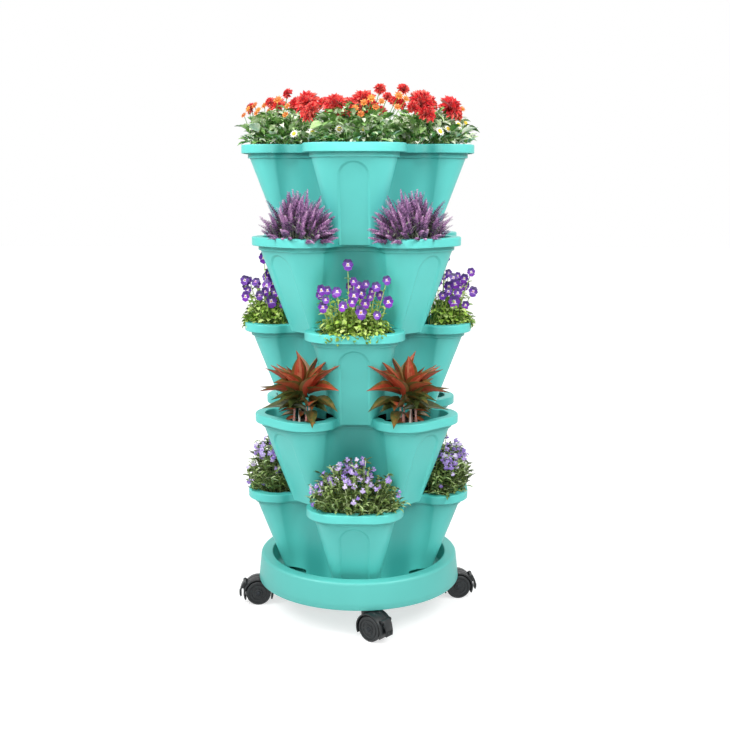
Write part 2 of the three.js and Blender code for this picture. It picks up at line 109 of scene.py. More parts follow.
class Shape:
    """Points and faces gathered for one mesh, with a material number and a tint for each face."""

    def __init__(self):
        self.verts = []
        self.faces = []
        self.slots = []
        self.tints = []
        self.count = 0

    def add(self, verts, faces, slot=0, tint=0.5, matrix=None):
        """Adds a solid. Its slot and its tint are one value, or a list with one for each face."""
        verts = np.asarray(verts, float).reshape(-1, 3)
        if matrix is not None:
            turn = np.array(matrix, float)
            verts = verts @ turn[:3, :3].T + turn[:3, 3]
        self.verts.append(verts)
        self.faces.extend(tuple(i + self.count for i in face) for face in faces)
        self.slots.extend(slot if isinstance(slot, list) else [slot] * len(faces))
        self.tints.extend(tint if isinstance(tint, list) else [tint] * len(faces))
        self.count += len(verts)
        return self

    def merge(self, other, matrix, tint_shift=0):
        """Adds a copy of another shape."""
        tints = [tint + tint_shift for tint in other.tints]
        self.add(np.concatenate(other.verts), other.faces, other.slots, tints, matrix)

    def mesh(self, name, materials):
        mesh = bpy.data.meshes.new(name)
        verts = np.concatenate(self.verts) * MM
        mesh.from_pydata(verts.tolist(), [], self.faces)
        for material in materials:
            mesh.materials.append(material)
        mesh.polygons.foreach_set("material_index", np.array(self.slots, np.int32))
        mesh.polygons.foreach_set("use_smooth", [True] * len(mesh.polygons))
        tint = mesh.attributes.new("tint", "FLOAT", "FACE")
        tint.data.foreach_set("value", np.array(self.tints, np.float32))
        mesh.validate()
        return mesh


def new_object(name, data):
    obj = bpy.data.objects.new(name, data)
    bpy.context.scene.collection.objects.link(obj)
    return obj


def piece(name, mesh, body, nodes, matrix=None):
    """An object that rides on a body and stands for CAD nodes. It has its own copy of the mesh,
    turned into place, so that its box is the box of what it shows."""
    matrix = matrix or Matrix.Identity(4)
    mesh = mesh.copy()
    mesh.name = name
    mesh.transform(matrix.to_3x3().to_4x4())
    obj = new_object(name, mesh)
    obj.matrix_world = Matrix.Translation(matrix.translation)
    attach(obj, body)
    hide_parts(*nodes)
    return obj


def sharpen(mesh, degrees=SMOOTH_LIMIT):
    """Smooth shading that breaks where faces meet at more than this angle."""
    work = bmesh.new()
    work.from_mesh(mesh)
    bmesh.ops.remove_doubles(work, verts=work.verts[:], dist=WELD * MM)
    for edge in work.edges:
        edge.smooth = len(edge.link_faces) == 2 and edge.calc_face_angle() < radians(degrees)
    work.to_mesh(mesh)
    work.free()
    return mesh


def ring_faces(rings, count, closed_ends=True):
    """Quads between rings of equally many points, and a face on each end if the ends are closed."""
    faces = []
    for ring in range(rings - 1):
        for i in range(count):
            a, b = ring * count + i, ring * count + (i + 1) % count
            faces.append((a, b, b + count, a + count))
    if closed_ends:
        faces.append(tuple(range(count - 1, -1, -1)))
        faces.append(tuple(range((rings - 1) * count, rings * count)))
    return faces


def lathe(profile, segments, about="z"):
    """A profile of (radius, height) pairs turned about an axis. It starts and ends on the axis, or
    closes on itself."""
    profile = np.asarray(profile, float)
    turns = np.arange(segments) * FULL_TURN / segments
    radius, height = profile[:, :1], profile[:, 1:]
    x, y = radius * np.cos(turns), radius * np.sin(turns)
    z = np.repeat(height, segments, axis=1)
    verts = np.stack([x, y, z] if about == "z" else [x, z, -y], axis=-1).reshape(-1, 3)
    return verts, ring_faces(len(profile), segments, closed_ends=False)


def arc(centre, radius, start, end, steps):
    """Points on a circular arc, from one angle in degrees to another."""
    turns = np.radians(np.linspace(start, end, steps + 1))
    return [(centre[0] + radius * cos(t), centre[1] + radius * sin(t)) for t in turns]


def plate(outline, thickness, edge=0, middle=0, steps=2):
    """An outline in the X-Z plane made into a plate across Y, with its edges rounded by this much."""
    outline = np.asarray(outline, float)
    rings = []
    for side in (-1, 1):
        y = np.full(len(outline), middle + side * thickness / 2)
        rings.append(np.stack([outline[:, 0], y, outline[:, 1]], axis=-1))
    solid = np.concatenate(rings), [face[::-1] for face in ring_faces(2, len(outline))]
    return bevelled(solid, edge, steps) if edge else solid


def bevelled(solid, width, steps=2):
    """Rounds a solid's sharp edges."""
    verts, faces = solid
    work = bmesh.new()
    made = [work.verts.new(v) for v in verts]
    for face in faces:
        work.faces.new([made[i] for i in face])
    bmesh.ops.recalc_face_normals(work, faces=work.faces[:])
    limit = radians(SMOOTH_LIMIT)
    sharp = [e for e in work.edges if len(e.link_faces) == 2 and e.calc_face_angle() > limit]
    bmesh.ops.bevel(
        work, geom=sharp, offset=width, segments=steps, profile=0.5, affect="EDGES", clamp_overlap=True
    )
    work.verts.index_update()
    out = [tuple(v.co) for v in work.verts], [tuple(v.index for v in f.verts) for f in work.faces]
    work.free()
    return out


# Materials


def new_material(name):
    material = bpy.data.materials.new(name)
    material.use_nodes = True
    return material, material.node_tree, material.node_tree.nodes["Principled BSDF"]


def set_inputs(tree, node, inputs):
    """Gives a node its inputs, each a plain value or the output of another node."""
    for name, value in inputs.items():
        if isinstance(value, bpy.types.NodeSocket):
            tree.links.new(value, node.inputs[name])
        else:
            node.inputs[name].default_value = value


def add_node(tree, kind, inputs, output=0, **settings):
    """Adds a shader node and returns one of its outputs."""
    node = tree.nodes.new(f"ShaderNode{kind}")
    for name, value in settings.items():
        setattr(node, name, value)
    set_inputs(tree, node, inputs)
    return node.outputs[output]


def calculate(tree, operation, *values):
    return add_node(tree, "Math", dict(enumerate(values)), operation=operation)


def noise(tree, scale, detail, roughness=0.5):
    place = add_node(tree, "TexCoord", {}, "Object")
    inputs = {"Vector": place, "Scale": scale, "Detail": detail, "Roughness": roughness}
    return add_node(tree, "TexNoise", inputs, "Fac")


def ramp(tree, source, stops):
    tone = add_node(tree, "ValToRGB", {"Fac": source}, "Color")
    elements = tone.node.color_ramp.elements
    while len(elements) < len(stops):
        elements.new(0.5)
    for element, (place, colour) in zip(elements, stops):
        element.position = place
        element.color = (*colour, 1)
    return tone


def bump(tree, source, strength, distance):
    inputs = {"Height": source, "Strength": strength, "Distance": distance}
    return add_node(tree, "Bump", inputs, "Normal")


def scaled(colour, factor):
    return [min(1, c * factor) for c in colour]


# Painted shade: the pots' colour is multiplied down to this in the valleys between the lobes
PAINTED_SHADE_COLOUR = (0.42, 0.6, 0.6)
PAINTED_SHADE_END = 0.25  # where the painted shade ends, on a wave from -1 in the valleys to 1 on the lobes
GLOSS_SPREAD = 0.06
MOTTLE = 0.35  # how far the noise moves a face's tint


def painted_valley_shade(tree, bearing):
    """A colour to multiply by: white on the lobes and deeper in the valleys between them, as painted shade.
    The first lobe points to the given bearing in degrees."""
    place = add_node(tree, "TexCoord", {}, "Object")
    parts = add_node(tree, "SeparateXYZ", {0: place}).node.outputs
    turn = calculate(tree, "ARCTAN2", parts["Y"], parts["X"])
    waves = calculate(tree, "MULTIPLY_ADD", turn, LOBES, -LOBES * radians(bearing))
    inputs = {"Value": calculate(tree, "COSINE", waves), "From Min": -1, "From Max": PAINTED_SHADE_END}
    level = add_node(tree, "MapRange", inputs, interpolation_type="SMOOTHSTEP")
    return ramp(tree, level, [(0, PAINTED_SHADE_COLOUR), (1, (1, 1, 1))])


def plastic(name, code, roughness, grain=900, patch=9, spread=0.05, bearing=None):
    """Moulded plastic: a fine grain, a faint unevenness of colour and slightly uneven gloss. With a
    bearing, painted shade darkens the colour in the valleys between the pot's lobes.
    """
    material, tree, shader = new_material(name)
    stops = [(0.3, scaled(srgb(code), 1 - spread)), (0.7, scaled(srgb(code), 1 + spread))]
    paint = ramp(tree, noise(tree, patch, 3), stops)
    if bearing is not None:
        # Painted shade, darker in the valleys between the lobes
        shade = painted_valley_shade(tree, bearing)
        paint = add_node(tree, "VectorMath", {0: paint, 1: shade}, operation="MULTIPLY")
    fine = noise(tree, grain, 5, 0.6)
    span = {"Value": fine, "To Min": roughness - GLOSS_SPREAD, "To Max": roughness + GLOSS_SPREAD}
    gloss = add_node(tree, "MapRange", span)
    relief = bump(tree, fine, 0.12, 0.0003)
    set_inputs(tree, shader, {"Base Color": paint, "Roughness": gloss, "Normal": relief})
    return material


def tinted(name, tints, roughness, sheen=0, grain=350, strength=0.2):
    """Plants or soil: each face's tint picks a colour, given for percents, and fine noise mottles it."""
    material, tree, shader = new_material(name)
    tint = add_node(tree, "Attribute", {}, "Fac", attribute_name="tint")
    fine = noise(tree, grain, 4)
    shift = calculate(tree, "SUBTRACT", tint, MOTTLE / 2)
    level = calculate(tree, "MULTIPLY_ADD", fine, MOTTLE, shift)
    tone = ramp(tree, level, [(percent / 100, srgb(code)) for percent, code in tints.items()])
    relief = bump(tree, fine, strength, 0.0004)
    set_inputs(tree, shader, {"Base Color": tone, "Roughness": roughness, "Normal": relief})
    shader.inputs["Sheen Weight"].default_value = sheen
    return material


def metal(name, code, roughness):
    """Steel with a mottled gloss."""
    material, tree, shader = new_material(name)
    fine = noise(tree, 600, 3)
    tone = ramp(tree, fine, [(0.35, scaled(srgb(code), 0.8)), (0.7, srgb(code))])
    relief = bump(tree, fine, 0.1, 0.0002)
    set_inputs(tree, shader, {"Base Color": tone, "Roughness": roughness, "Normal": relief})
    shader.inputs["Metallic"].default_value = 1
    return material


POT_COLOUR = "#60d2ca"
# Both pot materials carry painted shade in the valleys; the second is turned by half a lobe for the even
# tiers
POT_PLASTIC_PAINTED_SHADE = plastic("pot_plastic", POT_COLOUR, 0.42, bearing=0)
TURNED_PLASTIC_PAINTED_SHADE = plastic("pot_plastic_turned_painted_shade", POT_COLOUR, 0.42, bearing=180 / LOBES)
TRAY_PLASTIC = plastic("tray_plastic", "#5abdb5", 0.45)
BLACK_NYLON = plastic("black_nylon", "#14181a", 0.38, grain=1400, patch=60, spread=0.2)
BLACK_TREAD = plastic("black_tread", "#191d1f", 0.5, grain=1800, patch=80, spread=0.2)
ZINC = metal("zinc_steel", "#b9babc", 0.35)
DARK_STEEL = metal("dark_steel", "#3a3d40", 0.45)
SOIL_TINTS = {20: "#120c08", 50: "#2a1d14", 75: "#46331f", 95: "#8a7a5f"}
SOIL = tinted("soil", SOIL_TINTS, 0.95, grain=700, strength=0.8)

# Pot


def lobe_corners(front, shoulder, valley):
    """Corners of one lobe in turning order: x, y, radius, steps of the corner, and runs to the next
    corner."""
    (fx, fy, fr), (sx, sy, sr), (vx, vy, vr) = front, shoulder, valley
    return [
        (vx, -vy, vr, 8, 1),
        (sx, -sy, sr, 4, 1),
        (fx, -fy, fr, 9, 10),
        (fx, fy, fr, 9, 1),
        (sx, sy, sr, 4, 1),
        (vx, vy, vr, 8, 3),
    ]


def full_plan(lobe):
    corners = []
    for i in range(LOBES):
        c, s = cos(i * FULL_TURN / LOBES), sin(i * FULL_TURN / LOBES)
        corners += [(x * c - y * s, x * s + y * c, r, steps, runs) for x, y, r, steps, runs in lobe]
    return corners


def valley_corner(valley, half):
    return (valley + half) / sqrt(2), (valley - half) / sqrt(2)


RIM_PLAN = full_plan(
    lobe_corners((RIM_TIP, 73.7, 50), (118, 73.7, 22), (*valley_corner(109.5, 26), 22))
)
FOOT_INNER = valley_corner(91, 40)
FOOT_PLAN = full_plan(
    lobe_corners(
        (FOOT_TIP, 25, 8),
        ((FOOT_TIP + FOOT_INNER[0]) / 2, (25 + FOOT_INNER[1]) / 2, 20),
        (*FOOT_INNER, 34),
    )
)


def inset_plan(plan, distance):
    """Moves every side of a plan inwards by one distance."""
    count = len(plan)
    out = []
    for i, (x, y, r, steps, runs) in enumerate(plan):
        before, after = plan[i - 1], plan[(i + 1) % count]
        a = Vector((before[1] - y, x - before[0])).normalized()
        b = Vector((y - after[1], after[0] - x)).normalized()
        move = (a + b) * (distance / (1 + a.dot(b)))
        cross = a.cross(b)
        radius = max(0.2, r - copysign(distance, cross)) if abs(cross) > 1e-6 else r
        out.append((x + move.x, y + move.y, radius, steps, runs))
    return out


def blend_plans(low, high, share):
    out = []
    for a, b in zip(low, high):
        x, y, r = (a[k] + (b[k] - a[k]) * share for k in range(3))
        out.append((x, y, r, a[3], a[4]))
    return out


def round_plan(plan):
    """Points round a plan, equally many at every height: each corner's arc and the runs between arcs."""
    count = len(plan)
    arcs = []
    for i, (x, y, r, steps, _) in enumerate(plan):
        here = Vector((x, y))
        inward = (Vector(plan[i - 1][:2]) - here).normalized()
        outward = (Vector(plan[(i + 1) % count][:2]) - here).normalized()
        half = acos(max(-1, min(1, inward.dot(outward)))) / 2
        if half > pi / 2 - 1e-4:
            arcs.append([here + outward * (0.2 * (k - steps / 2)) for k in range(steps + 1)])
            continue
        reach = r / tan(half)
        centre = here + (inward + outward).normalized() * (r / sin(half))
        start, end = here + inward * reach - centre, here + outward * reach - centre
        sweep = atan2(start.cross(end), start.dot(end))
        turned = []
        for k in range(steps + 1):
            angle = sweep * k / steps
            c, s = cos(angle), sin(angle)
            turned.append(centre + Vector((start.x * c - start.y * s, start.x * s + start.y * c)))
        arcs.append(turned)
    points = []
    for i, (_, _, _, _, runs) in enumerate(plan):
        points += arcs[i]
        last, first = arcs[i][-1], arcs[(i + 1) % count][0]
        points += [last.lerp(first, k / runs) for k in range(1, runs)]
    return np.array([tuple(p) for p in points])


BODY_TOP_PLAN = inset_plan(RIM_PLAN, BODY_INSET)


def body_plan(height, inset=0):
    return inset_plan(blend_plans(FOOT_PLAN, BODY_TOP_PLAN, height / BODY_TOP), inset)


def panel_cutter():
    """The arch that is sunk into a lobe's sloping front, with drafted sides."""
    slope = atan2(RIM_TIP - BODY_INSET - FOOT_TIP, BODY_TOP)
    middle = (BODY_TOP - PANEL_TOP) / cos(slope) - PANEL_HALF
    verts = []
    for out, half in ((-PANEL_DEPTH, PANEL_HALF - PANEL_DRAFT), (PANEL_DEPTH, PANEL_HALF + PANEL_DRAFT)):
        outline = [(-half, -PANEL_TOP), (half, -PANEL_TOP), *arc((0, middle), half, 0, 180, 28)]
        for across, up in outline:
            x = FOOT_TIP + out * cos(slope) + up * sin(slope)
            verts.append((x, across, up * cos(slope) - out * sin(slope)))
    return verts, ring_faces(2, len(outline))


def pot_shell():
    """The pot as rings from the underside of its floor, round the foot, up, over the rim and down inside."""
    step = inset_plan(RIM_PLAN, BAND_OVERHANG)
    inner_top = inset_plan(BODY_TOP_PLAN, WALL)
    under_lip = inset_plan(RIM_PLAN, LIP)
    band_low = POT_HEIGHT - BAND_HEIGHT
    lip_under = POT_HEIGHT - LIP
    floor_top = FLOOR_RAISE + POT_FLOOR
    rings = [(body_plan(FLOOR_RAISE, WALL), FLOOR_RAISE), (body_plan(0, WALL), EDGE_ROUND)]
    rings += [(body_plan(0, WALL - EDGE_ROUND), 0), (body_plan(0, EDGE_ROUND), 0)]
    rings += [(body_plan(z), z) for z in np.linspace(EDGE_ROUND, BODY_TOP, BODY_RINGS)]
    rings += [
        (inset_plan(step, EDGE_ROUND), BODY_TOP),
        (step, BODY_TOP + EDGE_ROUND),
        (step, lip_under),
        (under_lip, lip_under),
        (under_lip, band_low),
        (inset_plan(RIM_PLAN, EDGE_ROUND), band_low),
        (RIM_PLAN, band_low + EDGE_ROUND),
    ]
    for x, z in arc((LIP_ROUND, POT_HEIGHT - LIP_ROUND), LIP_ROUND, 180, 90, 4):
        rings.append((inset_plan(RIM_PLAN, x), z))
    for x, z in arc((WALL - LIP_ROUND, POT_HEIGHT - LIP_ROUND), LIP_ROUND, 90, 0, 4):
        rings.append((inset_plan(BODY_TOP_PLAN, x), z))
    rings.append((inner_top, BODY_TOP))
    for share in (0.75, 0.5, 0.25):
        z = floor_top + (BODY_TOP - floor_top) * share
        rings.append((body_plan(z, WALL), z))
    rings += [(body_plan(floor_top, WALL), floor_top + 2), (body_plan(floor_top, WALL + 2), floor_top)]
    verts = []
    for plan, z in rings:
        points = round_plan(plan)
        verts.append(np.column_stack([points, np.full(len(points), z)]))
    count = len(verts[0])
    return np.concatenate(verts), ring_faces(len(rings), count)


def box_solid(size, centre):
    corners = [
        (centre[0] + sx * size[0] / 2, centre[1] + sy * size[1] / 2, centre[2] + sz * size[2] / 2)
        for sz in (-1, 1)
        for sx, sy in ((-1, -1), (1, -1), (1, 1), (-1, 1))
    ]
    return np.array(corners), ring_faces(2, 4)


def subtract(mesh, cutters):
    """Cuts a shape out of a mesh."""
    target = new_object("cut_target", mesh)
    tool = new_object("cut_tool", cutters.mesh("cut_tool", []))
    cut = target.modifiers.new("cut", "BOOLEAN")
    cut.operation = "DIFFERENCE"
    cut.solver = "EXACT"
    cut.object = tool
    graph = bpy.context.evaluated_depsgraph_get()
    result = bpy.data.meshes.new_from_object(target.evaluated_get(graph))
    for obj in (target, tool):
        bpy.data.objects.remove(obj)
    return result


def make_pot_mesh():
    # The pot's material carries painted shade in its valleys
    shell = Shape().add(*pot_shell()).mesh("pot", [POT_PLASTIC_PAINTED_SHADE])
    cutters = Shape()
    bearing = atan2(FOOT_INNER[1], FOOT_INNER[0])
    reach = hypot(*FOOT_INNER)
    for i in range(LOBES):
        turn = i * FULL_TURN / LOBES
        for side in (1, -1):
            middle = (reach, -side * NOTCH_OFFSET, NOTCH_TOP - NOTCH_DEPTH / 2)
            solid = box_solid((NOTCH_DEPTH, NOTCH_WIDTH, NOTCH_DEPTH), middle)
            rounded = bevelled(solid, 1.5, 3)
            cutters.add(*rounded, matrix=turned(turn + side * bearing))
        cutters.add(*panel_cutter(), matrix=turned(turn))
        place = turned(turn) @ Matrix.Translation((DRAIN_PLACE, 0, 0))
        verts, _ = lathe([(DRAIN_RADIUS, 0), (DRAIN_RADIUS, NOTCH_DEPTH)], DRAIN_SIDES)
        cutters.add(verts, ring_faces(2, DRAIN_SIDES), matrix=place)
    return sharpen(subtract(shell, cutters), POT_SMOOTH_LIMIT)


def tier_matrix(tier):
    lift = (FIRST_FOOT + (tier - 1) * TIER_PITCH) * MM
    turn = pi / LOBES if tier % 2 == 0 else 0
    return Matrix.Translation((0, 0, lift)) @ turned(turn)


# Soil

SOIL_DEPTH = 30
SOIL_GRAINS = 700


def make_soil_mesh(seed):
    """The upper part of the soil: a rough bed across the pot's plan, with grains on it."""
    rng = random.Random(seed)
    draw = rng.uniform
    edge = round_plan(body_plan(SOIL_TOP - 5, WALL + 1))
    low = round_plan(body_plan(SOIL_TOP - SOIL_DEPTH, WALL + 1))
    shape = Shape()
    shares = [1, 0.985, 0.94, 0.88, 0.8, 0.7, 0.58, 0.45, 0.32, 0.2, 0.1]
    verts = [np.column_stack([low, np.full(len(low), SOIL_TOP - SOIL_DEPTH)])]
    for number, share in enumerate(shares):
        wave = [draw(-1.6, 1.6) if number else -3 for _ in edge]
        verts.append(np.column_stack([edge * share, SOIL_TOP - 2 + np.array(wave)]))
    shape.add(np.concatenate(verts), ring_faces(len(verts), len(edge)), tint=0.45)
    for _ in range(SOIL_GRAINS):
        point = edge[rng.randrange(len(edge))] * sqrt(draw(0.2, 0.92))
        size = draw(0.8, 2.6)
        solid = lathe([(0, -size), (size, -size * 0.4), (size * 0.8, size * 0.5), (0, size * 0.7)], 5)
        place = Matrix.Translation((*point, SOIL_TOP - 1.5))
        spin = Matrix.Rotation(draw(0, 6), 4, (rng.random(), rng.random(), 1))
        shape.add(*solid, tint=rng.choice((0.3, 0.4, 0.5, 0.6, 0.95)), matrix=place @ spin)
    return sharpen(shape.mesh(f"soil_{seed}", [SOIL]), 50)


# Tray

TRAY_INNER = 139.9
TRAY_OUTER_TOP = 158.9
TRAY_OUTER_LOW = 162.9
GROOVE_OUTER = 131
GROOVE_INNER = 121.3
GROOVE_DEPTH = 0.9
BOSS_RADIUS = 9


def make_tray_mesh():
    top, inner, outer_top, outer_low = TRAY_EDGE + TRAY_HEIGHT, TRAY_INNER, TRAY_OUTER_TOP, TRAY_OUTER_LOW
    groove = TRAY_FLOOR - GROOVE_DEPTH
    profile = [(0, TRAY_FLOOR - WALL), (inner + WALL, TRAY_FLOOR - WALL)]
    profile += [(inner + WALL, top - WALL), (outer_top - WALL - 2, top - WALL)]
    profile += [(outer_top - WALL, top - WALL - 2), (outer_low - WALL, TRAY_EDGE)]
    profile += arc((outer_low - 1, TRAY_EDGE + 1), 1, -90, 0, 2)
    profile += [(outer_low - 1, TRAY_EDGE + 11)]
    profile += arc((outer_top - 4.5, top - 4.5), 4.5, 5, 90, 6)
    profile += arc((inner + 2.5, top - 2.5), 2.5, 90, 180, 4)
    profile += [(inner - 0.4, TRAY_FLOOR + 12), (inner - 1.2, TRAY_FLOOR + 5)]
    profile += arc((inner - 5.2, TRAY_FLOOR + 4), 4, 0, -90, 4)
    profile += [(GROOVE_OUTER, TRAY_FLOOR), (GROOVE_OUTER - 1.2, groove), (GROOVE_INNER + 1.2, groove)]
    profile += [(GROOVE_INNER, TRAY_FLOOR), (0, TRAY_FLOOR)]
    shape = Shape().add(*lathe(profile, 160))
    boss = [(0, TRAY_EDGE), (BOSS_RADIUS - 0.8, TRAY_EDGE), (BOSS_RADIUS, TRAY_EDGE + 0.8)]
    boss += [(BOSS_RADIUS, top - WALL), (0, top - WALL)]
    for _, bearing, _ in CASTERS:
        place = turned(radians(bearing)) @ Matrix.Translation((PIVOT_RADIUS, 0, 0))
        shape.add(*lathe(boss, 32), matrix=place)
    return sharpen(shape.mesh("tray", [TRAY_PLASTIC]), 40)


# Casters, each in its own frame: it swivels about Z, trails to +X, and its axle lies along Y

PIVOT_RADIUS = 150
TRAIL = 15
WHEEL_WIDTH = 8.7
WEB = 10
CASTERS = [("front", -83, 45), ("right", 7, 0), ("back", 97, 45), ("left", 187, 0)]
AXLE = (TRAIL, WHEEL_RADIUS)
HOOD_INNER = 22
CASTER_WIDTH = WEB + 2 * (SEAT_GAP + WHEEL_WIDTH)
HINGE_TURN = 36
HINGE_REACH = 27.2
PEDAL_WIDTH = 15.6
PEDAL_STEPS = 14
PEDAL_THICK = 2.4
HOOD_ENDS = (-26, 206)  # degrees round the axle
HOOD_SPARE = 0.6
RIDGE_OFFSET = 5.2
HUB_RADIUS = 6.5
NECK_TOP = 44.7
LUG_RADIUS = 3.2
LUG_WIDTH = 2.5
LUG_OFFSET = 9.35
SPOKES = 6
BORE = 2.3


def round_axle(radius, degrees):
    turn = radians(degrees)
    return AXLE[0] + radius * cos(turn), AXLE[1] + radius * sin(turn)


def sector(inner, outer, start, end, steps):
    return arc(AXLE, outer, start, end, steps) + arc(AXLE, inner, end, start, steps)


def make_hood_mesh():
    shape = Shape()
    roof = sector(HOOD_INNER, HOOD_OUTER, *HOOD_ENDS, 40)
    shape.add(*plate(roof, CASTER_WIDTH + HOOD_SPARE, 0.6))
    ridge = sector(HOOD_OUTER - 0.5, HOOD_OUTER + 0.5, 8, 190, 32)
    for side in (-1, 1):
        shape.add(*plate(ridge, 1.4, 0.3, side * RIDGE_OFFSET, 1))
    web = arc(AXLE, HOOD_INNER + 1, 0, 180, 30)
    shape.add(*plate(web, WEB, 0.5))
    shape.add(*plate(arc(AXLE, HUB_RADIUS, 0, 345, 23), WEB, 0.5))
    top = NECK_TOP
    neck = [(0, top - 10), (8, top - 9), (8.2, top - 3), *arc((6.6, top - 1.6), 1.6, 0, 90, 3), (0, top)]
    shape.add(*lathe(neck, 36))
    hinge = round_axle(HINGE_REACH, HINGE_TURN)
    foot = round_axle(HOOD_INNER + 1.2, HINGE_TURN)
    turn = radians(HINGE_TURN)
    side = (-sin(turn) * LUG_RADIUS, cos(turn) * LUG_RADIUS)
    lug = arc(hinge, LUG_RADIUS, HINGE_TURN - 90, HINGE_TURN + 90, 10)
    lug += [(foot[0] + side[0], foot[1] + side[1]), (foot[0] - side[0], foot[1] - side[1])]
    for sign in (1, -1):
        shape.add(*plate(lug, LUG_WIDTH, 0.4, sign * LUG_OFFSET))
    return sharpen(shape.mesh("hood", [BLACK_NYLON]))


def make_wheel_mesh():
    """A wheel on the +Y side: rounded tread, a sunk face with a raised ring, and a hub cap."""
    inner = WEB / 2 + SEAT_GAP
    outer = inner + WHEEL_WIDTH
    r = WHEEL_RADIUS
    profile = [(BORE, inner), (r - 2, inner)]
    profile += arc((r - 1.8, inner + 1.8), 1.8, -90, 0, 4)
    profile += arc((r - 2.2, outer - 2.2), 2.2, 0, 90, 5)
    profile += [(r - 3.6, outer - 0.2), (r - 4.2, outer - 1.6), (r - 6.2, outer - 1.9)]
    profile += [(r - 6.8, outer - 0.9), (r - 8.6, outer - 0.9), (r - 9.2, outer - 1.9)]
    profile += [(7.2, outer - 1.9), (6.4, outer - 0.4), (4.6, outer), (4.4, outer - 0.2)]
    profile += [(BORE, outer - 0.2), (BORE, inner)]
    shape = Shape().add(*lathe(profile, 56, about="y"))
    spoke = bevelled(box_solid((6.2, 0.9, 1.6), (10, outer - 1.7, 0)), 0.3, 1)
    for i in range(SPOKES):
        shape.add(*spoke, matrix=turned(i * FULL_TURN / SPOKES, "Y"))
    return sharpen(shape.mesh("wheel", [BLACK_TREAD]))


def make_axle_mesh():
    face = CASTER_WIDTH / 2 + SEAT_GAP
    half = [(2, face), (4, face), (3.8, face + 0.5), (2.6, face + 1.2), (0, face + 1.2)]
    profile = [(radius, -height) for radius, height in half[::-1]] + half
    return sharpen(Shape().add(*lathe(profile, 32, about="y")).mesh("axle", [DARK_STEEL]))


def make_pedal_mesh():
    shape = Shape()
    reach = np.linspace(27.3, 28.4, PEDAL_STEPS + 1)
    turns = np.linspace(HINGE_TURN, -13, PEDAL_STEPS + 1)
    near = [round_axle(r, t) for r, t in zip(reach, turns)]
    far = [round_axle(r + PEDAL_THICK, t) for r, t in zip(reach, turns)]
    shape.add(*plate(far + near[::-1], PEDAL_WIDTH, 0.6))
    for y in np.linspace(-5.4, 5.4, 4):
        shape.add(*plate(sector(29.8, 31.4, -11, 4, 5), 1.2, 0.3, y, 1))
    shape.add(*plate(sector(21.8, 28.3, 15.1, 26.9, 5), PEDAL_WIDTH, 0.4))
    hinge = round_axle(HINGE_REACH, HINGE_TURN)
    shape.add(*plate(arc(hinge, 2.4, 0, 340, 17), PEDAL_WIDTH, 0.3, 0, 1))
    shape.add(*plate(arc(hinge, 1.2, 0, 330, 11), 2 * LUG_OFFSET + LUG_WIDTH))
    return sharpen(shape.mesh("pedal", [BLACK_NYLON]))


def make_stem_mesh():
    profile = [(0, 28), (3, 28), (3, 44.9), (6.2, 44.9), (6.5, 45.2), (6.5, 46), (6.2, 46.2)]
    profile += [(3, 46.2), (3, 73.5), (2, 74.5), (0, 74.5)]
    return sharpen(Shape().add(*lathe(profile, 32)).mesh("stem", [ZINC]))


def place_casters():
    hood, wheel, axle = make_hood_mesh(), make_wheel_mesh(), make_axle_mesh()
    pedal, stem = make_pedal_mesh(), make_stem_mesh()
    at_axle = Matrix.Translation((AXLE[0] * MM, 0, AXLE[1] * MM))
    flip = turned(pi)
    for name, bearing, swing in CASTERS:
        out = turned(radians(bearing)) @ Matrix.Translation((PIVOT_RADIUS * MM, 0, 0))
        place = out @ turned(radians(swing))
        body = f"caster_{name}"
        piece(f"{body}_hood_fine", hood, body, [f"{body}_hood"], place)
        piece(f"{body}_axle_fine", axle, body, [f"{body}_axle"], place @ at_axle)
        piece(f"{body}_stem_fine", stem, "tray", [f"{body}_stem"], place)
        for side, turn in (("left", Matrix.Identity(4)), ("right", flip)):
            node = f"{body}_wheel_{side}"
            wheel_body = f"{body}_wheel_{side[0]}"
            piece(f"{node}_fine", wheel, wheel_body, [node], place @ at_axle @ turn)
        piece(f"{body}_pedal_fine", pedal, f"{body}_pedal", [f"{body}_brake_pedal"], place)


# Plants. A form's length runs along +X and a flower faces +Z. Each clump has its pocket's frame: the
# origin is at the rim's height in the middle of the crown, +X points away from the tower and +Z up.

CLUMP_CENTRE = 141
SOIL_LEVEL = SOIL_TOP - POT_HEIGHT


def run_along(point, direction, spin=0, size=(1, 1, 1)):
    turn = Vector(direction).to_track_quat("X", "Z").to_matrix().to_4x4()
    return Matrix.Translation(point) @ turn @ turned(spin, "X") @ Matrix.Diagonal((*size, 1))


def face_along(point, direction, spin, size):
    turn = Vector(direction).to_track_quat("Z", "Y").to_matrix().to_4x4()
    return Matrix.Translation(point) @ turn @ turned(spin) @ Matrix.Scale(size, 4)


def leaf_form(droop=40, fold=0.2, steps=5, belly=0.8, blunt=1, columns=2):
    """A leaf of unit length and width. It droops by an angle in degrees and folds along its middle."""
    verts, x, z = [], 0.0, 0.0
    for k in range(steps + 1):
        t = k / steps
        if k:
            angle = radians(droop) * t
            x, z = x + cos(angle) / steps, z - sin(angle) / steps
        half = 0.5 * max(0.03, sin(pi * t**belly) ** blunt)
        for c in range(columns + 1):
            side = 2 * c / columns - 1
            verts.append((x, side * half, z + fold * half * abs(side)))
    row = columns + 1
    faces = [
        (k * row + c, (k + 1) * row + c, (k + 1) * row + c + 1, k * row + c + 1)
        for k in range(steps)
        for c in range(columns)
    ]
    return verts, faces


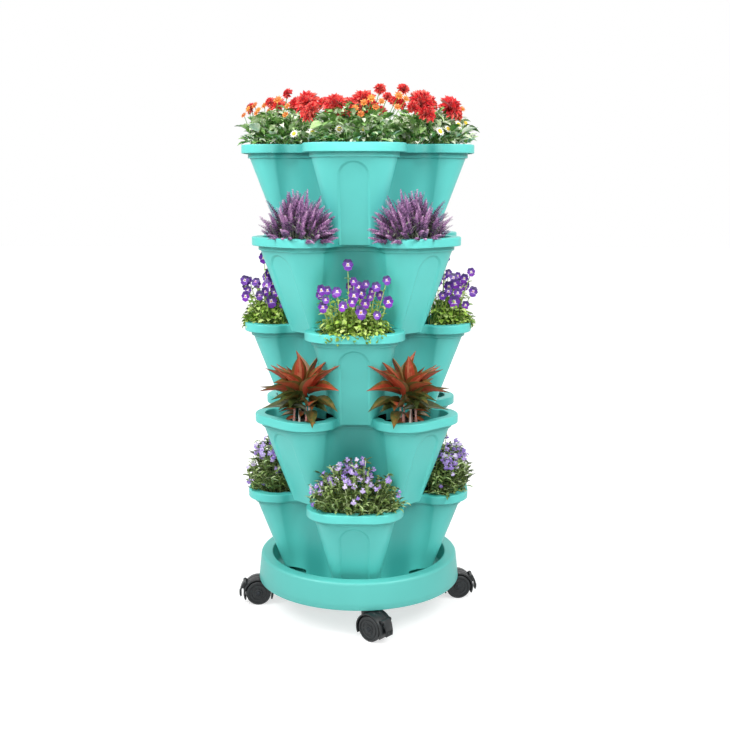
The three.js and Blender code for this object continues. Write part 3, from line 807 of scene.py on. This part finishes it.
def stem(shape, start, end, radius, slot, tint, bow=0.15, sides=4, steps=5):
    """A bowed stem that leaves the ground steeply. Returns the points that it runs through."""
    start, end = Vector(start), Vector(end)
    middle = start.lerp(end, 0.5) + Vector((0, 0, (end - start).length * bow))
    points = [
        start.lerp(middle, t).lerp(middle.lerp(end, t), t) for t in (k / steps for k in range(steps + 1))
    ]
    reference = Vector((1, 0.2, 0.1))
    verts = []
    for i, point in enumerate(points):
        ahead = (points[min(i + 1, steps)] - points[max(i - 1, 0)]).normalized()
        side = (reference - ahead * reference.dot(ahead)).normalized()
        other = ahead.cross(side)
        size = radius * (1 - 0.4 * i / steps)
        for k in range(sides):
            angle = k * FULL_TURN / sides
            verts.append(point + (side * cos(angle) + other * sin(angle)) * size)
    shape.add([tuple(v) for v in verts], ring_faces(steps + 1, sides), slot, tint)
    return points


def jitter(draw, low, high):
    return Vector([draw(low, high) for _ in range(3)])


def radial(turn, x=1, y=1, z=0):
    """A vector at this bearing on an ellipse of these half-widths, and this high."""
    return Vector((x * cos(turn), y * sin(turn), z))


def dome_point(draw, reach, spread, height, low=0, inner=-0.8):
    """A point on an ellipsoid's upper half, kept off the pot behind the clump."""
    while True:
        z = draw(low, 1)
        turn = draw(0, FULL_TURN)
        flat = sqrt(1 - z * z)
        if cos(turn) * flat > inner:
            return radial(turn, reach * flat, spread * flat, height * z)


def ground_point(draw, point, pull=0.45):
    """Where the stem of a flower or leaf at this point leaves the soil."""
    x = max(-24, min(16, point.x * pull + draw(-4, 4))) - 8
    return Vector((x, point.y * pull + draw(-4, 4), SOIL_LEVEL))


def blob_form(radius, height, sides):
    """A small low dome, for a flower's middle."""
    profile = [(0, 0), (radius, 0), (radius * 0.9, height * 0.6), (radius * 0.45, height), (0, height * 1.1)]
    return lathe(profile, sides)


# Each plant's materials: name, colours for percents of tint, roughness, and where wanted sheen and grain
PLANT_LOOKS = {
    "lobelia": [
        ("green", {5: "#232b12", 40: "#586d33", 70: "#8ba658", 95: "#c8d9a0"}, 0.55),
        ("violet", {10: "#5d469c", 35: "#8a6cc2", 65: "#b39adb", 95: "#eee6f8"}, 0.5),
    ],
    "aglaonema": [
        (
            "leaf",
            {5: "#1b2611", 25: "#4b592b", 40: "#83602f", 60: "#a2472f", 85: "#c9583e", 100: "#e69670"},
            0.38,
            0,
            160,
        ),
        ("stalk", {20: "#c0605a", 60: "#f0aea4", 90: "#fbe4dc"}, 0.45),
    ],
    "viola": [
        ("green", {5: "#34481a", 40: "#6c912f", 70: "#9fc04a", 95: "#cfe08a"}, 0.5),
        ("violet", {10: "#2c0858", 35: "#5a1496", 60: "#8e28bc", 75: "#ba66dc", 90: "#efe2fb"}, 0.45, 0.2),
        ("yellow", {20: "#c78a1a", 80: "#f6dd5a"}, 0.5),
    ],
    "lavender": [
        ("mauve", {5: "#3a2440", 30: "#6f4a78", 55: "#a26fa6", 85: "#c98fc4", 100: "#e4bddc"}, 0.7, 0.3),
        ("grey", {5: "#2a2622", 50: "#6d725e", 95: "#b0b6a2"}, 0.75),
    ],
    "dahlia": [
        ("green", {5: "#2f4a20", 35: "#629442", 60: "#9ac472", 80: "#cbe0b2", 100: "#f3f7e6"}, 0.5),
        ("red", {5: "#7a0812", 30: "#cc1626", 60: "#f03038", 95: "#ff8a78"}, 0.45, 0.2),
        ("orange", {20: "#b8401c", 50: "#ea7a2c", 90: "#f9c869"}, 0.5),
        ("white", {10: "#dfe6d2", 60: "#ffffff"}, 0.5),
        ("middle", {10: "#8a3212", 35: "#c9701a", 70: "#f6d63c"}, 0.5),
    ],
}


def plant_looks(kind, suffix=""):
    return [tinted(f"{kind}_{name}{suffix}", *look) for name, *look in PLANT_LOOKS[kind]]


def petal_place(turn, lift, length, width):
    """Where a petal of this length and width lies, turned about Z and lifted by an angle in degrees."""
    return turned(turn) @ turned(radians(-lift), "Y") @ Matrix.Diagonal((length, width, length, 1))


def lobelia_form():
    """A small flower: two narrow petals above and a fan of three below."""
    flower = Shape()
    petal = leaf_form(droop=25, fold=0.1, steps=3, belly=1.3, blunt=0.7)
    petals = [(62, 3.4, 1.8), (118, 3.4, 1.8), (270, 5, 3.6), (222, 4.8, 3.4), (318, 4.8, 3.4)]
    for degrees, length, width in petals:
        place = petal_place(radians(degrees), 12, length, width)
        flower.add(*petal, slot=1, tint=0.55, matrix=place)
    flower.add(*blob_form(0.9, 0.8, 6), slot=1, tint=0.95)
    return flower


LOBELIA_STEMS = 180
STEM_LEAVES = 9


def make_lobelia_mesh(seed, front):
    """Many leafy stems, arching at the edge, with small flowers near the ends of the upper ones."""
    rng = random.Random(seed)
    draw = rng.uniform
    shape = Shape()
    flower = lobelia_form()
    leaf = leaf_form(droop=35, steps=3, fold=0.3)
    for number in range(LOBELIA_STEMS):
        tip = dome_point(draw, 43, 76, 78, low=0.02) * draw(0.7, 1.03)
        start = ground_point(draw, tip, 0.55)
        pale = draw(0.45, 1)
        points = stem(shape, start, tip, 0.85, 0, pale, draw(0.05, 0.3))
        for _ in range(STEM_LEAVES):
            share = draw(0.42, 1) * (len(points) - 1)
            low = int(min(share, len(points) - 2))
            place = points[low].lerp(points[low + 1], share - low)
            out = Vector((draw(-1, 1), draw(-1, 1), draw(0, 0.9)))
            size = (draw(9, 15), draw(3, 5.4), 10)
            shape.add(*leaf, tint=draw(0.1, 0.95), matrix=run_along(place, out, size=size))
        if tip.z > 34 - 24 * (number % 6 == 0) and tip.length > 44 and rng.random() < 0.55:
            for _ in range(rng.randint(1, 3)):
                spot = tip + jitter(draw, -5, 5)
                look = Vector((tip.x * 0.5 + front[0] * 30, tip.y * 0.5 + front[1] * 30, draw(0, 36)))
                look += Vector((draw(-14, 14), draw(-14, 14), 0))
                place = face_along(spot, look, draw(-0.6, 0.6), draw(0.85, 1.3))
                shape.merge(flower, place, draw(-0.3, 0.3))
    return shape.mesh(f"lobelia_{seed}", plant_looks("lobelia", f"_{seed}"))


EDGE_TINT = 0.22


def long_leaf(shape, start, direction, length, width, droop, tint, draw):
    """A pointed leaf with a coloured middle, green edges and a raised rib."""
    across = [0.25, 0.8, 1, 1.12, 0.85, 0.3]
    count = len(across)
    verts, faces = leaf_form(droop, 0.32, 9, 0.72, 1.1, columns=count)
    edge = EDGE_TINT
    tints = [edge + (tint - edge) * across[i % count] + draw(-0.06, 0.06) for i in range(len(faces))]
    place = run_along(start, direction, draw(-0.6, 0.6), (length, width, length))
    shape.add(verts, faces, 0, tints, place)


# Leaves in whorls: number, lowest and highest rise in degrees, length, width, tint, droop, and
# height over the crown
AGLAONEMA_WHORLS = [
    (10, -6, 8, 52, 20, 0.24, 22, 1),
    (10, 4, 18, 70, 20, 0.4, 24, 6),
    (10, 14, 34, 74, 21, 0.6, 22, 13),
    (8, 36, 58, 68, 22, 0.8, 16, 18),
    (5, 60, 82, 64, 21, 0.9, 8, 22),
]
STALKS = 7
LOW_LEAVES = 6
AGLAONEMA_ASIDE = Vector((3, 32, 0))
AGLAONEMA_ROOM = 64  # how far the leaves reach to the tower's front
FRONT_SHARE = cos(pi / 4)  # the pockets of this tier look out at 45 degrees to the front


def make_aglaonema_mesh(seed):
    """Pale stalks under whorls of long pointed leaves, dark green below and red above. The plant stands
    to one side of its pocket."""
    draw = random.Random(seed).uniform
    shape = Shape()
    crowns = []
    for i in range(STALKS):
        turn = i * FULL_TURN / STALKS + 0.3
        start = AGLAONEMA_ASIDE + Vector((2 + 8 * cos(turn), 17 * sin(turn), SOIL_LEVEL))
        end = AGLAONEMA_ASIDE + radial(turn, 7, 15, draw(15, 26))
        stem(shape, start, end, 2, 1, draw(0.4, 0.9), 0.05, 7)
        crowns.append(end)
    for count, low, high, length, width, tint, droop, lift in AGLAONEMA_WHORLS:
        for i in range(count):
            turn = (i + 0.5) * FULL_TURN / count + draw(-0.25, 0.25)
            limit = -0.35 if sin(turn) > 0 else -0.8
            if cos(turn) < limit and high < 60:
                continue
            crown = crowns[i % len(crowns)] + Vector((0, 0, lift + draw(-4, 4)))
            rise = radians(draw(low, high))
            out = radial(turn, 0.8, 1, tan(rise))
            size = length * draw(0.75, 1.12) * (1.12 if sin(turn) > 0.7 else 0.92)
            ahead = (out.x + out.y) * FRONT_SHARE / out.length
            if ahead > 0:
                shift = crown - AGLAONEMA_ASIDE
                size = min(size, (AGLAONEMA_ROOM - (shift.x + shift.y) * FRONT_SHARE) / ahead)
            hue = tint + draw(-0.22, 0.12)
            long_leaf(shape, crown, out, size, width * draw(0.85, 1.15), droop, hue, draw)
    for _ in range(LOW_LEAVES):
        turn = draw(-1.6, 1.6)
        start = AGLAONEMA_ASIDE + radial(turn, 4, 12, draw(0, 14))
        out = radial(turn, z=draw(-0.2, 0.5))
        size = (draw(20, 30), draw(10, 14))
        long_leaf(shape, start, out, *size, 30, draw(0.25, 1), draw)
    return shape.mesh("aglaonema", plant_looks("aglaonema"))


def viola_form():
    """A viola: two dark upper petals, two at the sides, a broad lower one and a pale middle."""
    flower = Shape()
    columns = 4
    petal = leaf_form(droop=20, fold=0.12, steps=4, belly=1.25, blunt=0.5, columns=columns)
    petals = [(66, 10, 9, 0.15, 6), (114, 10, 9, 0.15, 6), (8, 8.5, 8, 0.36, 14), (172, 8.5, 8, 0.36, 14)]
    petals.append((270, 9.5, 12, 0.44, 18))
    for degrees, length, width, tint, lift in petals:
        tints = [0.9 if i < columns else tint for i in range(len(petal[1]))]
        flower.add(*petal, slot=1, tint=tints, matrix=petal_place(radians(degrees), lift, length, width))
    flower.add(*blob_form(1.3, 1.6, 7), slot=2, tint=0.6)
    return flower


# Places of the violas: towards the front, sideways, over the rim, and size
VIOLA_SPOTS = [
    (0, -9, 96, 1), (16, -47, 62, 0.9), (10, -38, 61, 0.75), (14, -24, 59, 0.85), (20, -44, 38, 0.9),
    (18, -40, 48, 0.7), (26, -14, 40, 0.85), (16, 0, 54, 1), (22, -2, 46, 0.8), (8, 8, 66, 0.9),
    (14, 12, 58, 0.9), (26, 17, 45, 0.85), (30, 10, 32, 1.15), (10, 32, 66, 0.85), (6, 25, 60, 0.7),
    (-4, 47, 74, 0.8), (16, 49, 46, 0.95), (24, 33, 27, 0.75), (8, 24, 51, 0.7), (0, -50, 52, 0.7),
    (-2, -1, 73, 0.7), (2, 17, 69, 0.7), (-18, -28, 54, 0.8), (-20, 12, 58, 0.8), (-16, 36, 52, 0.8),
    (-22, -8, 64, 0.8),
]
VIOLA_LEAVES = 860
RIM_STEMS = 34


def make_viola_mesh(seed, front):
    """A leafy mound that spills a little over the rim, with violas above it on stalks, turned to the
    front."""
    rng = random.Random(seed)
    draw = rng.uniform
    shape = Shape()
    flower = viola_form()
    leaf = leaf_form(droop=45, steps=4, belly=1.1, blunt=0.6, fold=0.25)
    for number in range(VIOLA_LEAVES):
        tall = number % 3 == 0
        tip = dome_point(draw, 36, 52, 54 if tall else 34) * draw(0.5, 1.02)
        tip.z -= 4
        if rng.random() < (0.7 if tall else 0.25):
            stem(shape, ground_point(draw, tip, 0.7), tip, 0.7, 0, draw(0.6, 0.95), 0.15, 4, 4)
        out = Vector((tip.x + 15 + draw(-25, 25), tip.y + draw(-25, 25), draw(-5, 30)))
        size = draw(6, 11)
        place = run_along(tip, out, draw(-0.6, 0.6), (size, size * draw(0.5, 0.75), size))
        shape.add(*leaf, tint=draw(0.1, 1), matrix=place)
    for _ in range(RIM_STEMS):
        tip = Vector((draw(26, 36), draw(-42, 42), draw(-7, 6)))
        start = Vector((draw(4, 14), tip.y * 0.8, SOIL_LEVEL))
        stem(shape, start, tip, 0.8, 0, 0.8, 0.5)
        for _ in range(3):
            spot = tip + jitter(draw, -4, 2)
            out = Vector((1, draw(-1, 1), draw(-1, 0.5)))
            size = draw(5, 8)
            place = run_along(spot, out, size=(size, size * 0.6, size))
            shape.add(*leaf, tint=draw(0.2, 0.9), matrix=place)
    narrow = 1 if front[0] else 0.74
    for ahead, aside, z, size in VIOLA_SPOTS:
        aside *= narrow
        spot = Vector((front[0] * ahead - front[1] * aside, front[1] * ahead + front[0] * aside, z))
        points = stem(shape, ground_point(draw, spot, 0.55), spot, 0.9, 0, 0.85, 0.08)
        for point in points[2:5]:
            for _ in range(2):
                out = (draw(-1, 1), draw(-1, 1), 0.8)
                place = run_along(point, out, size=(draw(7, 11), draw(3, 5), 9))
                shape.add(*leaf, tint=draw(0.5, 1), matrix=place)
        look = Vector((front[0], front[1], 0.2)) + jitter(draw, -0.5, 0.5) * 0.9
        place = face_along(spot + look.normalized() * 2, look, draw(-0.3, 0.3), size)
        shape.merge(flower, place, draw(-0.12, 0.12))
    return shape.mesh(f"viola_{seed}", plant_looks("viola", f"_{seed}"))


SPIKE_RADIUS = 3
LAVENDER_SPIKES = 150
LAVENDER_ASIDE = Vector((-4, 25, 0))


def spike_form(draw, length, bend):
    """A flower spike of many small pointed bracts round a bent stalk."""
    spike = Shape()
    bract = leaf_form(droop=-25, fold=0.4, steps=2, belly=0.7)
    count = int(length * 1.3)
    for i in range(count):
        t = i / count
        turn = i * 2.4
        middle = Vector((length * t, 0, -bend * length * t * t))
        fat = SPIKE_RADIUS * (1 - 0.7 * t**1.8)
        ahead = Vector((1, 0, -2 * bend * t))
        away = Vector((0, cos(turn), sin(turn)))
        place = run_along(middle, ahead * 0.9 + away, 0, (fat * 2, fat * 1.3, fat * 2))
        spike.add(*bract, slot=0, tint=0.15 + 0.65 * t + draw(-0.25, 0.25), matrix=place)
    return spike


def make_lavender_mesh(seed):
    """A fan of bent flower spikes over greyish leafy stalks, leaning to one side of its pocket."""
    rng = random.Random(seed)
    draw = rng.uniform
    shape = Shape()
    forms = ((44, 0.16), (50, 0.26), (38, -0.12), (52, 0.1))
    spikes = [spike_form(draw, length, bend) for length, bend in forms]
    leaf = leaf_form(droop=15, steps=2, fold=0.3)
    for _ in range(LAVENDER_SPIKES):
        tip = dome_point(draw, 44, 76, 70, low=0.08, inner=-0.75) * draw(0.8, 1.04)
        tip += LAVENDER_ASIDE + Vector((0.1, 0.2, 0)) * max(0, tip.y)
        start = ground_point(draw, tip, 0.38)
        along = tip - start
        points = stem(shape, start, start + along * 0.6, 0.8, 1, draw(0.3, 1), 0.1)
        for point in points[1:]:
            for _ in range(2):
                out = Vector((draw(-1, 1), draw(-1, 1), 0.9))
                place = run_along(point, out, size=(draw(8, 13), 2, 9))
                shape.add(*leaf, slot=1, tint=draw(0.1, 1), matrix=place)
        place = start + along * draw(0.4, 0.5)
        size = (tip - place).length / 50
        turn = run_along(place, tip - place, draw(-0.8, 0.8), (size, 1, 1))
        shape.merge(rng.choice(spikes), turn, draw(-0.3, 0.25))
    return shape.mesh("lavender", plant_looks("lavender"))


BLOOM_RINGS = 8


def bloom_form(draw):
    """A full double flower of unit radius, its petals pointed and rising towards the middle."""
    bloom = Shape()
    petal = leaf_form(droop=-28, fold=0.5, steps=4, belly=1.05, blunt=0.8)
    for ring in range(BLOOM_RINGS):
        t = ring / (BLOOM_RINGS - 1)
        count = int(17 - 11 * t)
        for i in range(count):
            turn = (i + 0.5 * (ring % 2)) * FULL_TURN / count + draw(-0.12, 0.12)
            rise = radians(-22 + 96 * t + draw(-9, 9))
            length = (1.02 - 0.45 * t) * draw(0.88, 1.08)
            out = radial(turn, cos(rise), cos(rise), sin(rise))
            place = run_along((0, 0, 0.12 * t), out, draw(-0.3, 0.3), (length, 0.28, length))
            bloom.add(*petal, slot=1, tint=0.35 + 0.25 * (1 - t) + draw(-0.12, 0.4), matrix=place)
    return bloom


def daisy_form(slot, middle_tint, petals):
    """A small flower of unit radius: short petals round a raised middle."""
    flower = Shape()
    petal = leaf_form(droop=15, fold=0.15, steps=2, belly=1.3, blunt=0.5)
    for i in range(petals):
        place = petal_place(i * FULL_TURN / petals, 18, 1, 0.5)
        flower.add(*petal, slot=slot, tint=0.4 + 0.25 * (i % 2), matrix=place)
    flower.add(*blob_form(0.5, 0.4, 9), slot=4, tint=middle_tint)
    return flower


# Flowers in the top pot: place on the tower, height over the rim and radius
RED_SPOTS = [
    (-70, -74, 57, 21), (-66, -88, 42, 15), (-62, -96, 48, 12), (-27, -114, 51, 20),
    (-24, -120, 42, 13), (12, -108, 56, 21), (2, -122, 44, 14), (24, -102, 48, 13), (94, -64, 58, 22),
    (102, -72, 42, 16), (83, -78, 50, 12), (138, -28, 52, 21), (146, -22, 44, 13), (-102, -40, 73, 9),
    (35, -84, 76, 10), (68, -66, 77, 10), (-161, -8, 54, 10), (-129, -36, 61, 9), (46, -100, 64, 8),
    (-20, 92, 64, 18), (30, 112, 54, 16), (58, 70, 66, 17), (-96, 50, 62, 18), (106, 46, 64, 18),
    (-58, 78, 66, 14), (-124, 20, 58, 16), (-2, 130, 50, 14), (132, 20, 52, 14),
]
ORANGE_SPOTS = [
    (-172, -12, 44, 6), (-162, -34, 52, 6), (-154, -20, 58, 7), (-146, -40, 50, 6), (-138, -30, 57, 7),
    (-150, -34, 46, 6), (-116, -48, 64, 8), (-100, -64, 54, 6), (-104, -60, 42, 6), (2, -142, 46, 6),
    (14, -138, 54, 6), (24, -132, 60, 7), (30, -138, 48, 6), (10, -146, 38, 6), (38, -128, 56, 6),
    (62, -98, 66, 8), (72, -90, 62, 6), (60, -104, 50, 6), (156, -20, 52, 6), (130, 40, 58, 6),
    (-6, 140, 50, 6), (-28, 132, 56, 6), (-140, 36, 54, 6), (-150, 22, 46, 6), (16, 140, 46, 6),
]
WHITE_SPOTS = [
    (-62, -88, 18, 7), (-20, -140, 18, 7), (14, -146, 17, 7), (122, -56, 18, 8), (134, -44, 22, 7),
    (150, -34, 28, 8), (162, 2, 32, 8), (-90, -74, 14, 7), (40, 130, 24, 7), (-150, 20, 22, 7),
]
ORANGE_SLOT, WHITE_SLOT = 2, 3
DAHLIA_LEAVES = 760


def pocket_bearing(pocket):
    return pocket * pi / 2 - pi / 2


def nearest_pocket(x, y):
    return round(atan2(y, x) / (pi / 2) + 1) % LOBES


def make_dahlia_mesh(pocket):
    """The top pot's flowers in one pocket. The spots are places on the whole tower."""
    rng = random.Random(50 + pocket)
    draw = rng.uniform
    shape = Shape()
    heading = pocket_bearing(pocket)
    out = radial(heading)
    bloom = bloom_form(draw)
    button, white = daisy_form(ORANGE_SLOT, 0.3, 9), daisy_form(WHITE_SLOT, 0.7, 12)
    leaf = leaf_form(droop=45, steps=4, belly=1, blunt=0.75, fold=0.3, columns=4)
    for spots, form, thick in ((RED_SPOTS, bloom, 1), (ORANGE_SPOTS, button, 0.8), (WHITE_SPOTS, white, 0.8)):
        for x, y, z, size in spots:
            if nearest_pocket(x, y) != pocket:
                continue
            spot = Vector((x, y, z))
            start = (out * CLUMP_CENTRE).lerp(spot, 0.35)
            start.z = SOIL_LEVEL
            stem(shape, start, spot, thick, 0, 0.35, 0.06, 5)
            look = Vector((x / 220 + draw(-0.2, 0.2), y / 220 - 0.6, 0.62))
            shape.merge(form, face_along(spot, look, draw(0, 3), size), draw(-0.08, 0.1))
    turn = turned(heading)
    for number in range(DAHLIA_LEAVES):
        point = dome_point(draw, 66, 56, 52, low=0.02, inner=-1.1) * draw(0.6, 1.03)
        place = turn @ Vector((106 + point.x, point.y, max(3, point.z)))
        if rng.random() < 0.3:
            start = Vector((place.x * 0.75, place.y * 0.75, SOIL_LEVEL))
            stem(shape, start, place, 0.8, 0, draw(0.3, 0.7), 0.1, 4, 4)
        away = Vector((place.x, place.y, 0)) - out * 90
        aim = away.normalized() + jitter(draw, -0.9, 0.9) + Vector((0, 0, 0.95))
        large = number % 6 == 0 and 14 < place.z < 34
        size = draw(20, 28) if large else draw(9, 18)
        tint = draw(0.15, 0.8) if rng.random() < 0.62 else draw(0.75, 1.05)
        spin = run_along(place, aim, draw(-0.7, 0.7), (size, size * draw(0.35, 0.62), size))
        shape.add(*leaf, tint=tint, matrix=spin)
    return shape.mesh(f"dahlia_{pocket}", plant_looks("dahlia", f"_{pocket}"))


def pocket_matrix(tier, pocket):
    turn = turned(pocket_bearing(pocket))
    return tier_matrix(tier) @ turn @ Matrix.Translation((CLUMP_CENTRE * MM, 0, POT_HEIGHT * MM))


def mirrored(mesh):
    """The same clump seen in a mirror across its pocket."""
    mesh = mesh.copy()
    mesh.transform(Matrix.Diagonal((1, -1, 1, 1)))
    mesh.flip_normals()
    return mesh


def place_plants():
    """Pockets 1 to 4 run from the front round by the right. On the even tiers they start at front right."""
    sets = {}
    for kind, make in (("lobelia", make_lobelia_mesh), ("viola", make_viola_mesh)):
        fronts = [(1, 0), (0, -1), (1, 0), (0, 1)]
        sets[kind] = [make(seed, front) for seed, front in enumerate(fronts, 1)]
    for kind, make in (("aglaonema", make_aglaonema_mesh), ("lavender", make_lavender_mesh)):
        left = make(2)
        right = mirrored(left)
        sets[kind] = [right, left, right, left]
    for tier, kind in enumerate(("lobelia", "aglaonema", "viola", "lavender"), 1):
        for pocket, mesh in enumerate(sets[kind]):
            name = f"{kind}_{pocket + 1}"
            place = pocket_matrix(tier, pocket)
            piece(f"{name}_plants", mesh, f"tier_{tier}", [name], place)
    rim = Matrix.Translation((0, 0, POT_HEIGHT * MM))
    for pocket in range(LOBES):
        name = f"dahlia_{pocket + 1}"
        mesh = make_dahlia_mesh(pocket)
        piece(f"{name}_plants", mesh, f"tier_{TIERS}", [name], tier_matrix(TIERS) @ rim)


pot_mesh = make_pot_mesh()
for tier in range(1, TIERS + 1):
    body = f"tier_{tier}"
    pot = piece(f"pot_{tier}", pot_mesh, body, [f"planter_tier_{tier}"], tier_matrix(tier))
    if tier % 2 == 0:
        # The even tiers take the turned material, whose painted valley shade turns with them
        pot.data.materials[0] = TURNED_PLASTIC_PAINTED_SHADE
    soil = make_soil_mesh(tier)
    piece(f"soil_{tier}", soil, body, [f"soil_tier_{tier}"], tier_matrix(tier))
piece("tray_fine", make_tray_mesh(), "tray", ["saucer_tray"])
place_casters()
place_plants()


# Stage


def background_rays(tree):
    """1 for the rays that show the background: from the camera, off gloss and through clear parts."""
    rays = add_node(tree, "LightPath", {}).node.outputs
    shown = rays["Is Camera Ray"]
    for ray in ("Is Glossy Ray", "Is Transmission Ray"):
        shown = calculate(tree, "MAXIMUM", shown, rays[ray])
    return shown


WHITE = (1, 1, 1, 1)
NEAR_GLOW, FAR_GLOW = 0.66, 0.95  # how white the floor is by the tower and away from it
GLOW_START, GLOW_END = 0.4, 2  # metres from the tower


def floor_material():
    """A pale floor with a white glow for background rays, weaker by the tower, where its shadow is."""
    material, tree, shader = new_material("floor")
    place = add_node(tree, "NewGeometry", {}, "Position")
    away = add_node(tree, "VectorMath", {0: place}, "Value", operation="LENGTH")
    span = {"From Min": GLOW_START, "From Max": GLOW_END, "To Min": NEAR_GLOW, "To Max": FAR_GLOW}
    level = add_node(tree, "MapRange", {"Value": away, **span})
    glow = calculate(tree, "MULTIPLY", background_rays(tree), level)
    set_inputs(tree, shader, {"Emission Color": WHITE, "Emission Strength": glow})
    set_inputs(tree, shader, {"Base Color": (0.5, 0.5, 0.5, 1), "Roughness": 0.9})
    return material


HALF_FLOOR = 9000
corners = [(x * HALF_FLOOR, y * HALF_FLOOR, 0) for x, y in ((-1, -1), (1, -1), (1, 1), (-1, 1))]
floor_mesh = Shape().add(corners, [(0, 1, 2, 3)]).mesh("floor", [floor_material()])
floor = new_object("floor", floor_mesh)

world = bpy.data.worlds.new("studio")
bpy.context.scene.world = world
world.use_nodes = True
shown = background_rays(world.node_tree)
SKY_LIGHT = 0.2
glow = add_node(world.node_tree, "MapRange", {"Value": shown, "To Min": SKY_LIGHT, "To Max": 1})
set_inputs(world.node_tree, world.node_tree.nodes["Background"], {"Color": WHITE, "Strength": glow})


def area_light(name, place, aim_height, size, power):
    """A square lamp that points at the tower's axis."""
    lamp = bpy.data.lights.new(name, "AREA")
    lamp.size = size
    lamp.energy = power
    obj = new_object(name, lamp)
    obj.location = place
    obj.rotation_euler = (Vector((0, 0, aim_height)) - Vector(place)).to_track_quat("-Z", "Y").to_euler()


MIDDLE_HEIGHT = 0.45  # of the tower, in metres
area_light("left", (-1.2, -0.85, 1.65), MIDDLE_HEIGHT, 0.9, 29)
area_light("right", (1.2, -0.85, 1.65), MIDDLE_HEIGHT, 0.9, 27)
area_light("front", (-0.2, -2.6, 1.6), MIDDLE_HEIGHT, 1.2, 27)
area_light("back", (0.2, 1.6, 2.2), 0.5, 1.2, 14)

CAMERA_DOWN, CAMERA_LEFT = 11.63, 2.117  # how far the camera looks down and to the left, in degrees
camera_data = bpy.data.cameras.new("camera")
camera = new_object("camera", camera_data)
camera_data.sensor_width = 36
camera_data.lens = 52.82
camera_data.shift_y = 0.0445
camera.location = (0.07225, -1.6735, 0.6856)
camera.rotation_euler = (radians(90 - CAMERA_DOWN), 0, radians(CAMERA_LEFT))
bpy.context.scene.camera = camera
bpy.context.scene.view_settings.view_transform = "Standard"
